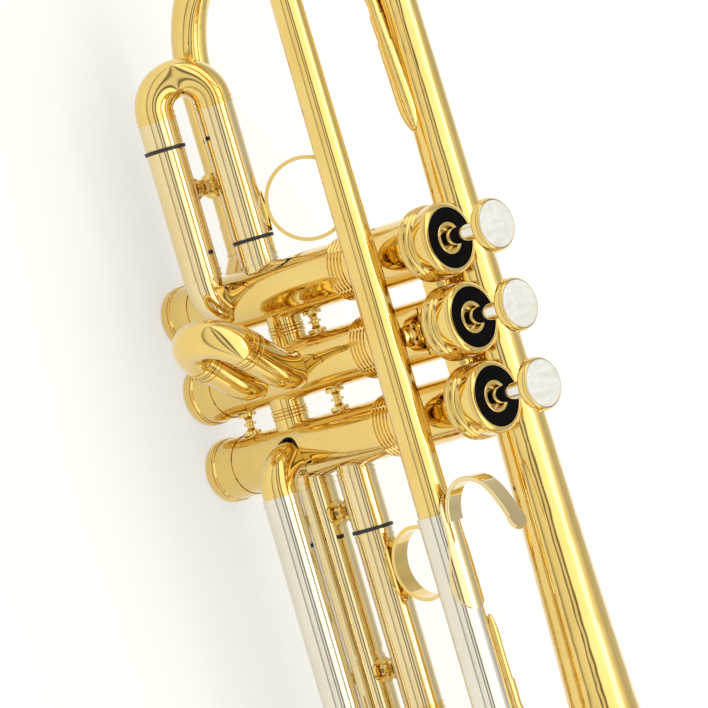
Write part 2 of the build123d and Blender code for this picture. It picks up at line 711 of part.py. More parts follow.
main_brace_x = main_bend_x - crook_ferrule / 2
with BuildPart() as main_brace:
    spool((main_brace_x, leadpipe_y, main_low_z + ferrule_dia / 2 - 0.4),
          (main_brace_x, leadpipe_y, leadpipe_z - ferrule_dia / 2 + 0.4), flange_dia=6.0, waist_dia=4.0)
    for height in (leadpipe_z, main_low_z):
        rod((main_brace_x - 9, leadpipe_y, height), (main_brace_x + 9, leadpipe_y, height),
            ferrule_dia + 0.4, mode=Mode.SUBTRACT)
finish(main_brace, "main_slide_brace")

# ---------------------------------------------------------------- third valve slide
third_stub_x = valve_xs[2] + casing_radius - 3.0
with BuildPart() as third_fixed:
    for height, end_x in ((third_high_z, third_fixed_end_x), (third_low_z, third_low_end_x)):
        tube((third_stub_x, third_y, height), (third_tube_x, third_y, height), elbow_dia, bore_dia)
        tube((third_tube_x, third_y, height), (end_x, third_y, height), slide_outer_dia, slide_outer_bore)
        ferrule((third_tube_x - 1.7, third_y, height), (1, 0, 0), inner=elbow_dia - 0.2)
    tube((third_tube_x, third_y, third_high_z), (third_inner_end_x, third_y, third_high_z),
         slide_inner_dia, bore_dia)
    tube((third_tube_x, third_y, third_high_z), (third_fixed_end_x, third_y, third_high_z),
         slide_outer_bore, slide_inner_dia - 0.2)
    rod((valve_xs[2], 0, casing_bottom), (valve_xs[2], 0, casing_top), lower_casing_dia, mode=Mode.SUBTRACT)
finish(third_fixed, "third_slide_fixed_tubes")

third_sleeve_start = third_fixed_end_x + o_ring_thickness + 2 * seat_gap
with BuildPart() as third_sleeve:
    tube((third_sleeve_start, third_y, third_high_z), (third_crook_x, third_y, third_high_z),
         slide_outer_dia, slide_outer_bore)
    ferrule((third_sleeve_start, third_y, third_high_z), (1, 0, 0))
    low_sleeve_start = third_low_end_x + o_ring_thickness + 2 * seat_gap
    tube((low_sleeve_start, third_y, third_low_z), (third_crook_x, third_y, third_low_z),
         slide_outer_dia, slide_inner_dia)
    tube((third_sleeve_start, third_y, third_low_z), (third_crook_x, third_y, third_low_z),
         slide_inner_dia, bore_dia)
finish(third_sleeve, "third_slide_legs")

with BuildPart() as third_crook:
    for height in (third_high_z, third_low_z):
        ferrule((third_crook_x, third_y, height), (1, 0, 0), inner=bore_dia)
    u_bend(Plane(origin=(third_crook_x + ferrule_length, third_y, third_mid_z), x_dir=(1, 0, 0),
                 z_dir=(0, -1, 0)), third_high_z - third_low_z, crook_dia, bore_dia)
finish(third_crook, "third_slide_crook")

with BuildPart() as third_brace:
    spool((moving_brace_x, third_y, third_low_z + slide_outer_dia / 2 - 1.2),
          (moving_brace_x, third_y, third_high_z - slide_outer_dia / 2 + 1.2), flange_dia=9.0, waist_dia=4.0)
    for height in (third_high_z, third_low_z):
        rod((moving_brace_x - 8, third_y, height), (moving_brace_x + 8, third_y, height), slide_outer_dia,
            mode=Mode.SUBTRACT)
finish(third_brace, "third_slide_brace")

ring_centre_z = third_high_z + slide_outer_dia / 2 + finger_ring_dia / 2 + 0.4
third_foot = saddle(Plane(origin=(finger_ring_x, third_y, third_high_z), x_dir=(1, 0, 0), z_dir=(0, 0, 1)),
                    slide_outer_dia, 22.0, 9.0, 0.8)
with BuildPart() as third_ring:
    hoop(Plane(origin=(finger_ring_x, third_y, ring_centre_z), z_dir=(0, 1, 0)),
         finger_ring_dia, finger_ring_width, ring_thickness)
    add(third_foot)
    rod((finger_ring_x - 15, third_y, third_high_z), (finger_ring_x + 15, third_y, third_high_z),
        slide_outer_dia, mode=Mode.SUBTRACT)
finish(third_ring, "third_slide_finger_ring")

# ---------------------------------------------------------------- first valve slide
first_stub_x = valve_xs[0] - casing_radius + 3.0
first_turn_x = valve_xs[0] + 0.4
first_sleeve_x = first_tube_x + 1.0
with BuildPart() as first_fixed:
    high_y, high_z = first_high
    low_y, low_z = first_low
    tube((first_stub_x, high_y, high_z), (first_tube_x, high_y, high_z), elbow_dia, bore_dia)
    tube((first_sleeve_x, high_y, high_z), (first_fixed_end_x, high_y, high_z), slide_outer_dia,
         slide_inner_dia - 0.2)
    tube((first_tube_x, high_y, high_z), (first_inner_end_x, high_y, high_z), slide_inner_dia, bore_dia)
    ferrule((first_sleeve_x, high_y, high_z), (-1, 0, 0), inner=slide_inner_dia)
    rod((valve_xs[0], 0, casing_bottom), (valve_xs[0], 0, casing_top), lower_casing_dia, mode=Mode.SUBTRACT)
finish(first_fixed, "first_slide_fixed_high")

with BuildPart() as first_fixed_low:
    bent_tube([(first_turn_x, -3.0, low_z), (first_turn_x, low_y, low_z), (first_tube_x, low_y, low_z)],
              8.6, elbow_dia, bore_dia)
    tube((first_sleeve_x, low_y, low_z), (first_low_end_x, low_y, low_z), slide_outer_dia, slide_outer_bore)
    ferrule((first_sleeve_x, low_y, low_z), (-1, 0, 0), inner=slide_outer_bore)
    rod((valve_xs[0], 0, casing_bottom), (valve_xs[0], 0, casing_top), lower_casing_dia, mode=Mode.SUBTRACT)
finish(first_fixed_low, "first_slide_fixed_low")

first_sleeve_start = first_fixed_end_x - o_ring_thickness - 2 * seat_gap
with BuildPart() as first_legs:
    tube((first_sleeve_start, high_y, high_z), (first_crook_x, high_y, high_z),
         slide_outer_dia, slide_outer_bore)
    tube((first_low_end_x - o_ring_thickness - 2 * seat_gap, low_y, low_z), (first_crook_x, low_y, low_z),
         slide_outer_dia, slide_inner_dia)
    tube((first_fixed_end_x - 3.0, low_y, low_z), (first_crook_x, low_y, low_z), slide_inner_dia, bore_dia)
finish(first_legs, "first_slide_legs")

first_high_point = Vector(first_crook_x, high_y, high_z)
first_low_point = Vector(first_crook_x, low_y, low_z)
first_across = (first_high_point - first_low_point).normalized()
first_spacing = (first_high_point - first_low_point).length
first_normal = Vector(-1, 0, 0).cross(first_across)
with BuildPart() as first_crook:
    for point in (first_high_point, first_low_point):
        ferrule(tuple(point), (-1, 0, 0), inner=bore_dia)
    u_bend(Plane(origin=(first_high_point + first_low_point) * 0.5 - Vector(ferrule_length, 0, 0),
                 x_dir=(-1, 0, 0), z_dir=first_normal), first_spacing, crook_dia, bore_dia)
finish(first_crook, "first_slide_crook")

with BuildPart() as fixed_o_rings:
    tube((first_fixed_end_x - seat_gap, high_y, high_z),
         (first_fixed_end_x - seat_gap - o_ring_thickness, high_y, high_z), o_ring_dia, slide_inner_dia)
    tube((third_fixed_end_x + seat_gap, third_y, third_high_z),
         (third_fixed_end_x + seat_gap + o_ring_thickness, third_y, third_high_z), o_ring_dia, slide_inner_dia)
finish(fixed_o_rings, "fixed_tube_o_rings")

with BuildPart() as moving_o_ring:
    tube((first_low_end_x - seat_gap, low_y, low_z),
         (first_low_end_x - seat_gap - o_ring_thickness, low_y, low_z), o_ring_dia, slide_inner_dia)
finish(moving_o_ring, "first_slide_o_ring")

thumb_up = first_across
thumb_centre = Vector(thumb_ring_x, high_y, high_z) + thumb_up * (slide_outer_dia / 2 + thumb_ring_dia / 2 + 0.3)
thumb_foot = saddle(Plane(origin=(thumb_ring_x, high_y, high_z), x_dir=(1, 0, 0), z_dir=thumb_up),
                    slide_outer_dia, 14.0, 10.0, 0.7)
with BuildPart() as thumb_ring:
    hoop(Plane(origin=thumb_centre, z_dir=first_normal), thumb_ring_dia, thumb_ring_width, ring_thickness)
    add(thumb_foot)
    rod((thumb_ring_x - 15, high_y, high_z), (thumb_ring_x + 15, high_y, high_z), slide_outer_dia,
        mode=Mode.SUBTRACT)
finish(thumb_ring, "first_slide_thumb_ring")

sleeve_dia = 2 * tail_radius + 1.2
with BuildPart() as first_brace:
    spool((first_brace_x, tail_y - tail_radius, tail_z), (first_brace_x, low_y + slide_outer_dia / 2 - 1.0, low_z),
          flange_dia=8.4, waist_dia=4.4)
    rod((first_brace_x - 4.2, tail_y, tail_z), (first_brace_x + 4.2, tail_y, tail_z), sleeve_dia)
    rod((first_brace_x - 8, tail_y, tail_z), (first_brace_x + 8, tail_y, tail_z), 2 * tail_radius,
        mode=Mode.SUBTRACT)
    rod((first_brace_x - 8, low_y, low_z), (first_brace_x + 8, low_y, low_z), slide_outer_dia,
        mode=Mode.SUBTRACT)
finish(first_brace, "first_slide_brace")

# ---------------------------------------------------------------- second valve slide
lean = math.radians(second_lean)
second_dir = Vector(-math.sin(lean), -math.cos(lean), 0)
turn_end = Vector(-second_turn_radius * (1 - math.cos(lean)),
                  second_turn_y - second_turn_radius * math.sin(lean), 0)
second_heights = (second_high_z, second_low_z)


def second_point(distance, height):
    """A point on a second-slide leg, at a distance from the end of its elbow."""
    return tuple(turn_end + second_dir * distance + Vector(0, 0, height))


with BuildPart() as second_fixed:
    for height in second_heights:
        corner = (0, second_turn_y - second_turn_radius * math.tan(lean / 2), height)
        bent_tube([(0, -2.0, height), corner, second_point(1.0, height)],
                  second_turn_radius - 0.01, elbow_dia, bore_dia)
        tube(second_point(0.8, height), second_point(second_fixed_length, height), slide_outer_dia,
             slide_outer_bore)
        ferrule(second_point(second_fixed_length - ferrule_length, height), second_dir)
    rod((0, 0, casing_bottom), (0, 0, casing_top), lower_casing_dia, mode=Mode.SUBTRACT)
finish(second_fixed, "second_slide_fixed_tubes")

second_crook_start = second_fixed_length + seat_gap
with BuildPart() as second_legs:
    for height in second_heights:
        tube(second_point(second_crook_start - second_leg_insert, height),
             second_point(second_crook_start + ferrule_length, height), slide_inner_dia, bore_dia)
finish(second_legs, "second_slide_legs")

with BuildPart() as second_crook:
    for height in second_heights:
        ferrule(second_point(second_crook_start, height), second_dir, inner=slide_inner_dia)
    bow_centre = Vector(*second_point(second_crook_start + ferrule_length, sum(second_heights) / 2))
    u_bend(Plane(origin=bow_centre, x_dir=second_dir, z_dir=second_dir.cross(Vector(0, 0, 1))),
           second_high_z - second_low_z, crook_dia, bore_dia)
finish(second_crook, "second_slide_crook")

# ---------------------------------------------------------------- braces and hook
brace_plate = saddle(Plane(origin=(0, 0, leadpipe_brace_z), x_dir=(0, 0, 1), z_dir=(0, -1, 0)),
                     upper_casing_dia, 8.0, 17.0, 0.6)
with BuildPart() as leadpipe_brace:
    spool((0, -upper_casing_dia / 2 + 0.6, leadpipe_brace_z), (0, leadpipe_y + 3.4, leadpipe_z + 4.0),
          flange_dia=7.0, waist_dia=3.6)
    add(brace_plate)
    turn(forward(-20, leadpipe_y, leadpipe_z), [(0, 0), (leadpipe_radius(-20), 0), (leadpipe_radius(20), 40), (0, 40)],
         mode=Mode.SUBTRACT)
    rod((0, 0, casing_bottom), (0, 0, casing_top), upper_casing_dia, mode=Mode.SUBTRACT)
finish(leadpipe_brace, "leadpipe_casing_brace")


def cut_bell(low_x, high_x):
    """Takes the bell's own room out of the piece being made."""
    length = high_x - low_x
    outline = [(0, 0)]
    for i in range(7):
        outline.append((bell_radius(low_x + length * i / 6) + 0.02, length * i / 6))
    outline.append((0, length))
    turn(forward(low_x, bell_y, bell_z), outline, mode=Mode.SUBTRACT)


with BuildPart() as bell_brackets:
    for x in (-valve_spacing / 2, valve_spacing / 2):
        spool((x, 6.4, bell_z - 5), (x, bell_y - 5.0, bell_z - 5), flange_dia=6.0, waist_dia=3.0)
        with Locations((x, 5.0, bell_z - 5)):
            Box(valve_spacing, 3.0, 6.0)
    cut_bell(-40, 40)
    for x in valve_xs:
        rod((x, 0, casing_bottom), (x, 0, casing_top), upper_casing_dia, mode=Mode.SUBTRACT)
finish(bell_brackets, "bell_casing_brackets")


def z_brace(name, cross_x, pipe_radii, bell_foot_length, bell_foot):
    """A brace from the leadpipe across to the bell, with a long smooth foot on each."""
    pipe_reach = pipe_radii[0] + 0.9
    pipe_side = (leadpipe_y + 0.69 * pipe_reach, leadpipe_z + 0.72 * pipe_reach)
    root_x = cross_x + brace_skew + brace_bend_radius
    root_reach = bell_radius(root_x) + 2.2
    root_side = (bell_y - root_reach * 0.93, bell_z - root_reach * 0.37)
    far_x = root_x + bell_foot_length
    far_reach = bell_radius(far_x) - 0.8
    far_side = (bell_y - far_reach * 0.93, bell_z - far_reach * 0.37)
    start_x = cross_x - brace_bend_radius
    with BuildPart() as brace:
        round_foot((cross_x - 36.0, *pipe_side), (start_x + 0.5, *pipe_side), pipe_foot)
        round_foot((far_x, *far_side), (root_x, *root_side), bell_foot)
        with BuildLine() as route:
            FilletPolyline((start_x, *pipe_side), (cross_x, *pipe_side), (cross_x + brace_skew, *root_side),
                           (root_x + 0.5, *root_side), radius=brace_bend_radius)
        with BuildSketch(Plane(origin=(start_x, *pipe_side), z_dir=(1, 0, 0))) as section:
            Circle(brace_dia / 2)
        sweep(section.sketch, path=route.wires()[0])
        turn(forward(cross_x - 40.0, leadpipe_y, leadpipe_z),
             [(0, 0), (pipe_radii[1], 0), (pipe_radii[0], 40.0), (0, 40.0)], mode=Mode.SUBTRACT)
        cut_bell(max(root_x, bow_start_x), far_x + 5)
        rod((bow_start_x, bell_y, bell_z), (bow_start_x - 8, bell_y, bell_z), 2 * bow_start_radius + 0.04,
            mode=Mode.SUBTRACT)
    finish(brace, name)


foot_root = brace_dia / 2 + 0.05
pipe_foot = [(0, 0), (0.9, 0.05), (1.3, 0.14), (1.45, 0.4), (1.5, 0.7), (1.8, 0.88), (foot_root, 1)]
rear_spoon = [(0, 0), (2.2, 0.05), (3.2, 0.14), (3.5, 0.26), (3.2, 0.5), (2.8, 0.75), (2.5, 1)]
front_spoon = [(0, 0), (1.6, 0.05), (2.3, 0.14), (2.8, 0.3), (2.8, 0.5), (2.6, 0.75), (2.3, 1)]
z_brace("rear_z_brace", rear_brace_x, (leadpipe_radius(rear_brace_x), leadpipe_radius(rear_brace_x - 40.0)),
        rear_foot_length, rear_spoon)
z_brace("front_z_brace", front_brace_x, (slide_outer_dia / 2, slide_outer_dia / 2), front_foot_length,
        front_spoon)

leaf_shape = [(-19.4, 0), (-17.6, 2.4), (-8.0, 3.4), (4.0, 5.0), (11.0, 5.8), (16.6, 4.4), (19.4, 0)]
hook_foot = leaf_foot(Plane(origin=(hook_foot_x, leadpipe_y, leadpipe_z), x_dir=(1, 0, 0), z_dir=(0, -0.1, 1)),
                      slide_outer_dia, hook_foot_thickness, leaf_shape)
hook_base_z = leadpipe_z + slide_outer_dia / 2 + 0.6
# The strip's line: forward of the hook's back, and share of its height
hook_shape = ((12.5, 0.01), (6.0, 0.065), (2.0, 0.18), (0.1, 0.33), (0.3, 0.49), (2.6, 0.67), (6.3, 0.78),
              (11.6, 0.885), (17.0, 0.96))
with BuildPart() as finger_hook:
    with BuildLine(Plane(origin=(hook_x, leadpipe_y, hook_base_z), x_dir=(1, 0, 0), z_dir=(0, -1, 0))) as route:
        Spline(*[(along, share * hook_height) for along, share in hook_shape])
    with BuildSketch(Plane(origin=route.line @ 0, x_dir=(0, 1, 0), z_dir=route.line % 0)) as section:
        RectangleRounded(hook_width, hook_thickness, 0.6)
    sweep(section.sketch, path=route.wires()[0])
    tip_normal = (route.line % 1).cross(Vector(0, 1, 0)) * (hook_thickness / 2)
    rod(tuple(route.line @ 1 - tip_normal), tuple(route.line @ 1 + tip_normal), hook_width)
    add(hook_foot)
    rod((hook_x - 10, leadpipe_y, leadpipe_z), (hook_x + 50, leadpipe_y, leadpipe_z), slide_outer_dia,
        mode=Mode.SUBTRACT)
    rod((leadpipe_end_x - 2, leadpipe_y, leadpipe_z), (leadpipe_end_x + 3, leadpipe_y, leadpipe_z),
        ferrule_dia, mode=Mode.SUBTRACT)
finish(finger_hook, "finger_hook")

# ---------------------------------------------------------------- main slide's crook and water key
bow_radius = (leadpipe_z - main_low_z) / 2
key_angle = math.radians(key_turn)
key_x = main_bend_x + bow_radius * math.sin(key_angle)
key_tube_z = main_mid_z - bow_radius * math.cos(key_angle)
nipple_low = key_tube_z - crook_dia / 2 - nipple_height
pivot_x = key_x - key_reach
pivot_z = nipple_low - pivot_drop
crook_sleeve_dia = ferrule_dia + 0.4
main_bow_plane = Plane(origin=(main_bend_x, leadpipe_y, main_mid_z), x_dir=(1, 0, 0), z_dir=(0, -1, 0))

with BuildPart() as main_crook:
    for height in (leadpipe_z, main_low_z):
        ferrule((main_bend_x - crook_ferrule, leadpipe_y, height), (1, 0, 0), length=crook_ferrule,
                dia=crook_sleeve_dia, inner=slide_inner_dia)
    u_bend(main_bow_plane, 2 * bow_radius, crook_dia, bore_dia)
    rod((key_x, leadpipe_y, nipple_low), (key_x, leadpipe_y, key_tube_z), nipple_bore, mode=Mode.SUBTRACT)
finish(main_crook, "main_slide_crook")

with BuildPart() as crook_room:
    u_bend(main_bow_plane, 2 * bow_radius, crook_dia, bore_dia)

with BuildPart() as key_saddle:
    rod((key_x, leadpipe_y, nipple_low), (key_x, leadpipe_y, key_tube_z - 5.2), nipple_dia)
    add(crook_room.part, mode=Mode.SUBTRACT)
    rod((key_x, leadpipe_y, nipple_low), (key_x, leadpipe_y, key_tube_z), nipple_bore, mode=Mode.SUBTRACT)
    post_top = main_low_z - 4.0
    post_low = pivot_z - 1.8
    for side in (-1, 1):
        with Locations((pivot_x, leadpipe_y + side * (post_gap + post_thickness) / 2, (post_top + post_low) / 2)):
            Box(4.0, post_thickness, post_top - post_low)
    rod((pivot_x - 4, leadpipe_y, main_low_z), (pivot_x + 4, leadpipe_y, main_low_z),
        crook_sleeve_dia - 2 * ferrule_rise, mode=Mode.SUBTRACT)
    rod((pivot_x, leadpipe_y - 6, pivot_z), (pivot_x, leadpipe_y + 6, pivot_z), key_pin_dia, mode=Mode.SUBTRACT)
finish(key_saddle, "water_key_saddle")

with BuildPart() as key_pin:
    half = post_gap / 2 + post_thickness
    rod((pivot_x, leadpipe_y - half - 0.8, pivot_z), (pivot_x, leadpipe_y + half + 0.8, pivot_z), key_pin_dia)
    rod((pivot_x, leadpipe_y - half - 0.8, pivot_z), (pivot_x, leadpipe_y - half, pivot_z), key_pin_dia + 1.4)
finish(key_pin, "water_key_screw")

cork_low = nipple_low - cork_thickness
with BuildPart() as water_key:
    # The lever is cut from flat bar: cork cup at the front, pivot barrel, finger touch at the back
    with BuildSketch(Plane(origin=(0, leadpipe_y, 0), x_dir=(1, 0, 0), z_dir=(0, -1, 0))) as side_view:
        with BuildLine():
            Polyline((key_x + 1.5, cork_low - 0.9), (key_x + 1.5, cork_low - 2.6), (pivot_x, pivot_z - 2.0),
                     (pivot_x - 10, pivot_z - 5.0), (pivot_x - 24, pivot_z - 5.2), (pivot_x - 24, pivot_z - 3.8),
                     (pivot_x - 10, pivot_z - 3.4), (pivot_x, pivot_z + 1.0), (pivot_x + 3, pivot_z + 0.2),
                     (key_x - 3.5, cork_low - 0.9), close=True)
        make_face()
    extrude(side_view.sketch, amount=1.4, both=True)
    rod((pivot_x, leadpipe_y - post_gap / 2 + 0.2, pivot_z), (pivot_x, leadpipe_y + post_gap / 2 - 0.2, pivot_z), 3.6)
    rod((key_x, leadpipe_y, cork_low - 1.2), (key_x, leadpipe_y, cork_low + 0.8), nipple_dia + 2.4)
    rod((key_x, leadpipe_y, cork_low), (key_x, leadpipe_y, cork_low + 0.8), nipple_dia + 1.2, mode=Mode.SUBTRACT)
    with Locations((pivot_x - 21, leadpipe_y, pivot_z - 4.5)):
        Box(9.0, 6.4, 1.4)
    fillet(water_key.edges().filter_by(Axis.Z).group_by(Axis.X)[0], 2.5)
    rod((pivot_x, leadpipe_y - 6, pivot_z), (pivot_x, leadpipe_y + 6, pivot_z), key_pin_dia + 0.1,
        mode=Mode.SUBTRACT)
finish(water_key, "water_key_lever")

with BuildPart() as key_cork:
    rod((key_x, leadpipe_y, cork_low), (key_x, leadpipe_y, nipple_low - 0.05), nipple_dia + 1.2)
finish(key_cork, "water_key_cork")
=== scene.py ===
"""Looks for a piston-valve trumpet: its finishes, turned fittings, felts, key spring, studio and camera."""

import json
import logging
import math
from dataclasses import dataclass, field
from enum import Enum

import bmesh
import bpy
from mathutils import Matrix, Vector


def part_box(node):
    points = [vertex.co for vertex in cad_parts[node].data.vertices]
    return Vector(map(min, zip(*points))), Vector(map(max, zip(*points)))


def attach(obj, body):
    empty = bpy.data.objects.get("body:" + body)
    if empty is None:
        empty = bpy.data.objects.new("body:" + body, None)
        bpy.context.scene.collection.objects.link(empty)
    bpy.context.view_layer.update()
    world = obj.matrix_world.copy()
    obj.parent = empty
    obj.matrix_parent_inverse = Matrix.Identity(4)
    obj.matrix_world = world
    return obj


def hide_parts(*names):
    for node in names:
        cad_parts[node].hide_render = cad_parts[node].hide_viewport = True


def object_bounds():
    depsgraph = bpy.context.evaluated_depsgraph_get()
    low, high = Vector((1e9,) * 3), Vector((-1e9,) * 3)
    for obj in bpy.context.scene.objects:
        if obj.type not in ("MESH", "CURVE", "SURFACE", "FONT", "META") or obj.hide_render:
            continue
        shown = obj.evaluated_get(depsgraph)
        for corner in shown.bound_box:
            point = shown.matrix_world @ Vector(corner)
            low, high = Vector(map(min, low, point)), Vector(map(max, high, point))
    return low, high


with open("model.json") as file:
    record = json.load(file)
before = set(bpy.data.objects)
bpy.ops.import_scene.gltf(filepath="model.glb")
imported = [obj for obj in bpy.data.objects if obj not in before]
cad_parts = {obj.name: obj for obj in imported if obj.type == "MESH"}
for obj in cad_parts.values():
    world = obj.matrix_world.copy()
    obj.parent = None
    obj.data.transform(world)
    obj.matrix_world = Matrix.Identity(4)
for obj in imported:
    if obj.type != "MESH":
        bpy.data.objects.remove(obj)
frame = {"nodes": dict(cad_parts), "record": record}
CAD_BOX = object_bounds()

log = logging.getLogger("trumpet")

Colour = tuple[float, float, float]
Outline = list[tuple[float, float]]

MM = 0.001
SAME_PLACE = 0.0001 * MM
SAME_LEVEL = 0.001 * MM
BEVEL_STEPS = 2
NAP_WAVES = ((9100.0, 0.0, 7700.0, 0.0), (3300.0, 1.3, 4100.0, 0.4))


# ---------------------------------------------------------------- node trees
class Bench:
    """A node tree with short calls that add nodes and join their sockets."""

    def __init__(self, tree: bpy.types.NodeTree) -> None:
        """Starts on an empty tree.

        Args:
            tree: the tree of a material, a world or a group.
        """
        self.tree = tree

    def add(self, kind: str, values: dict | None = None, **settings: object) -> bpy.types.Node:
        """Adds a shader node.

        Args:
            kind: the node's type without its ShaderNode prefix.
            values: default values by input name or number.
            settings: properties of the node itself.

        Returns:
            The new node.
        """
        node = self.tree.nodes.new("ShaderNode" + kind)
        for name, value in settings.items():
            setattr(node, name, value)
        for name, value in (values or {}).items():
            node.inputs[name].default_value = value
        return node

    def join(self, source: bpy.types.NodeSocket, target: bpy.types.NodeSocket) -> None:
        """Links an output to an input."""
        self.tree.links.new(source, target)

    def noise(self, vector: bpy.types.NodeSocket, scale: float, detail: float = 2.0,
              roughness: float = 0.5) -> bpy.types.NodeSocket:
        """Adds a noise texture on a vector.

        Args:
            vector: where the noise is read.
            scale: cells per metre.
            detail: octaves.
            roughness: how strongly the fine octaves show.

        Returns:
            The noise's value, around 0.5.
        """
        node = self.add("TexNoise", {"Scale": scale, "Detail": detail, "Roughness": roughness})
        self.join(vector, node.inputs["Vector"])
        return node.outputs["Fac"]

    def spread(self, value: bpy.types.NodeSocket, low: float, high: float, new_low: float = 0.0,
               new_high: float = 1.0) -> bpy.types.NodeSocket:
        """Maps a value's range onto another, clamped and smooth.

        Args:
            value: the value to map.
            low: the value that becomes new_low.
            high: the value that becomes new_high.
            new_low: the result at low.
            new_high: the result at high.

        Returns:
            The mapped value.
        """
        node = self.add("MapRange", {1: low, 2: high, 3: new_low, 4: new_high},
                        interpolation_type="SMOOTHSTEP")
        self.join(value, node.inputs[0])
        return node.outputs[0]

    def combine(self, first: bpy.types.NodeSocket, second: bpy.types.NodeSocket,
                operation: str = "ADD") -> bpy.types.NodeSocket:
        """Joins two values by one arithmetic operation."""
        node = self.add("Math", operation=operation)
        self.join(first, node.inputs[0])
        self.join(second, node.inputs[1])
        return node.outputs[0]

    def times(self, value: bpy.types.NodeSocket, factor: float) -> bpy.types.NodeSocket:
        """Multiplies a value by a number."""
        node = self.add("Math", {1: factor}, operation="MULTIPLY")
        self.join(value, node.inputs[0])
        return node.outputs[0]

    def blend(self, share: bpy.types.NodeSocket, first: Colour | bpy.types.NodeSocket,
              second: Colour | bpy.types.NodeSocket) -> bpy.types.NodeSocket:
        """Mixes two colours.

        Args:
            share: how much of the second colour shows.
            first: a colour, or a socket that gives one.
            second: a colour, or a socket that gives one.

        Returns:
            The mixed colour.
        """
        node = self.add("Mix", data_type="RGBA")
        self.join(share, node.inputs[0])
        for number, colour in ((6, first), (7, second)):
            if isinstance(colour, bpy.types.NodeSocket):
                self.join(colour, node.inputs[number])
            else:
                node.inputs[number].default_value = (*colour, 1.0)
        return node.outputs[2]

    def bump(self, height: bpy.types.NodeSocket, depth: float) -> bpy.types.NodeSocket:
        """Turns a height into a normal.

        Args:
            height: the height over the surface, from 0 to 1.
            depth: what a height of 1 is, in metres.

        Returns:
            The bumped normal.
        """
        node = self.add("Bump", {"Strength": 1.0, "Distance": depth})
        self.join(height, node.inputs["Height"])
        return node.outputs["Normal"]

    def group(self, name: str, **inputs: object) -> bpy.types.Node:
        """Places a shared group.

        Args:
            name: the group's name.
            inputs: a value or a socket for each named input, with spaces as underscores.

        Returns:
            The group node.
        """
        node = self.add("Group", node_tree=bpy.data.node_groups[name])
        for label, value in inputs.items():
            socket = node.inputs[label.replace("_", " ")]
            if isinstance(value, bpy.types.NodeSocket):
                self.join(value, socket)
            else:
                socket.default_value = value
        return node


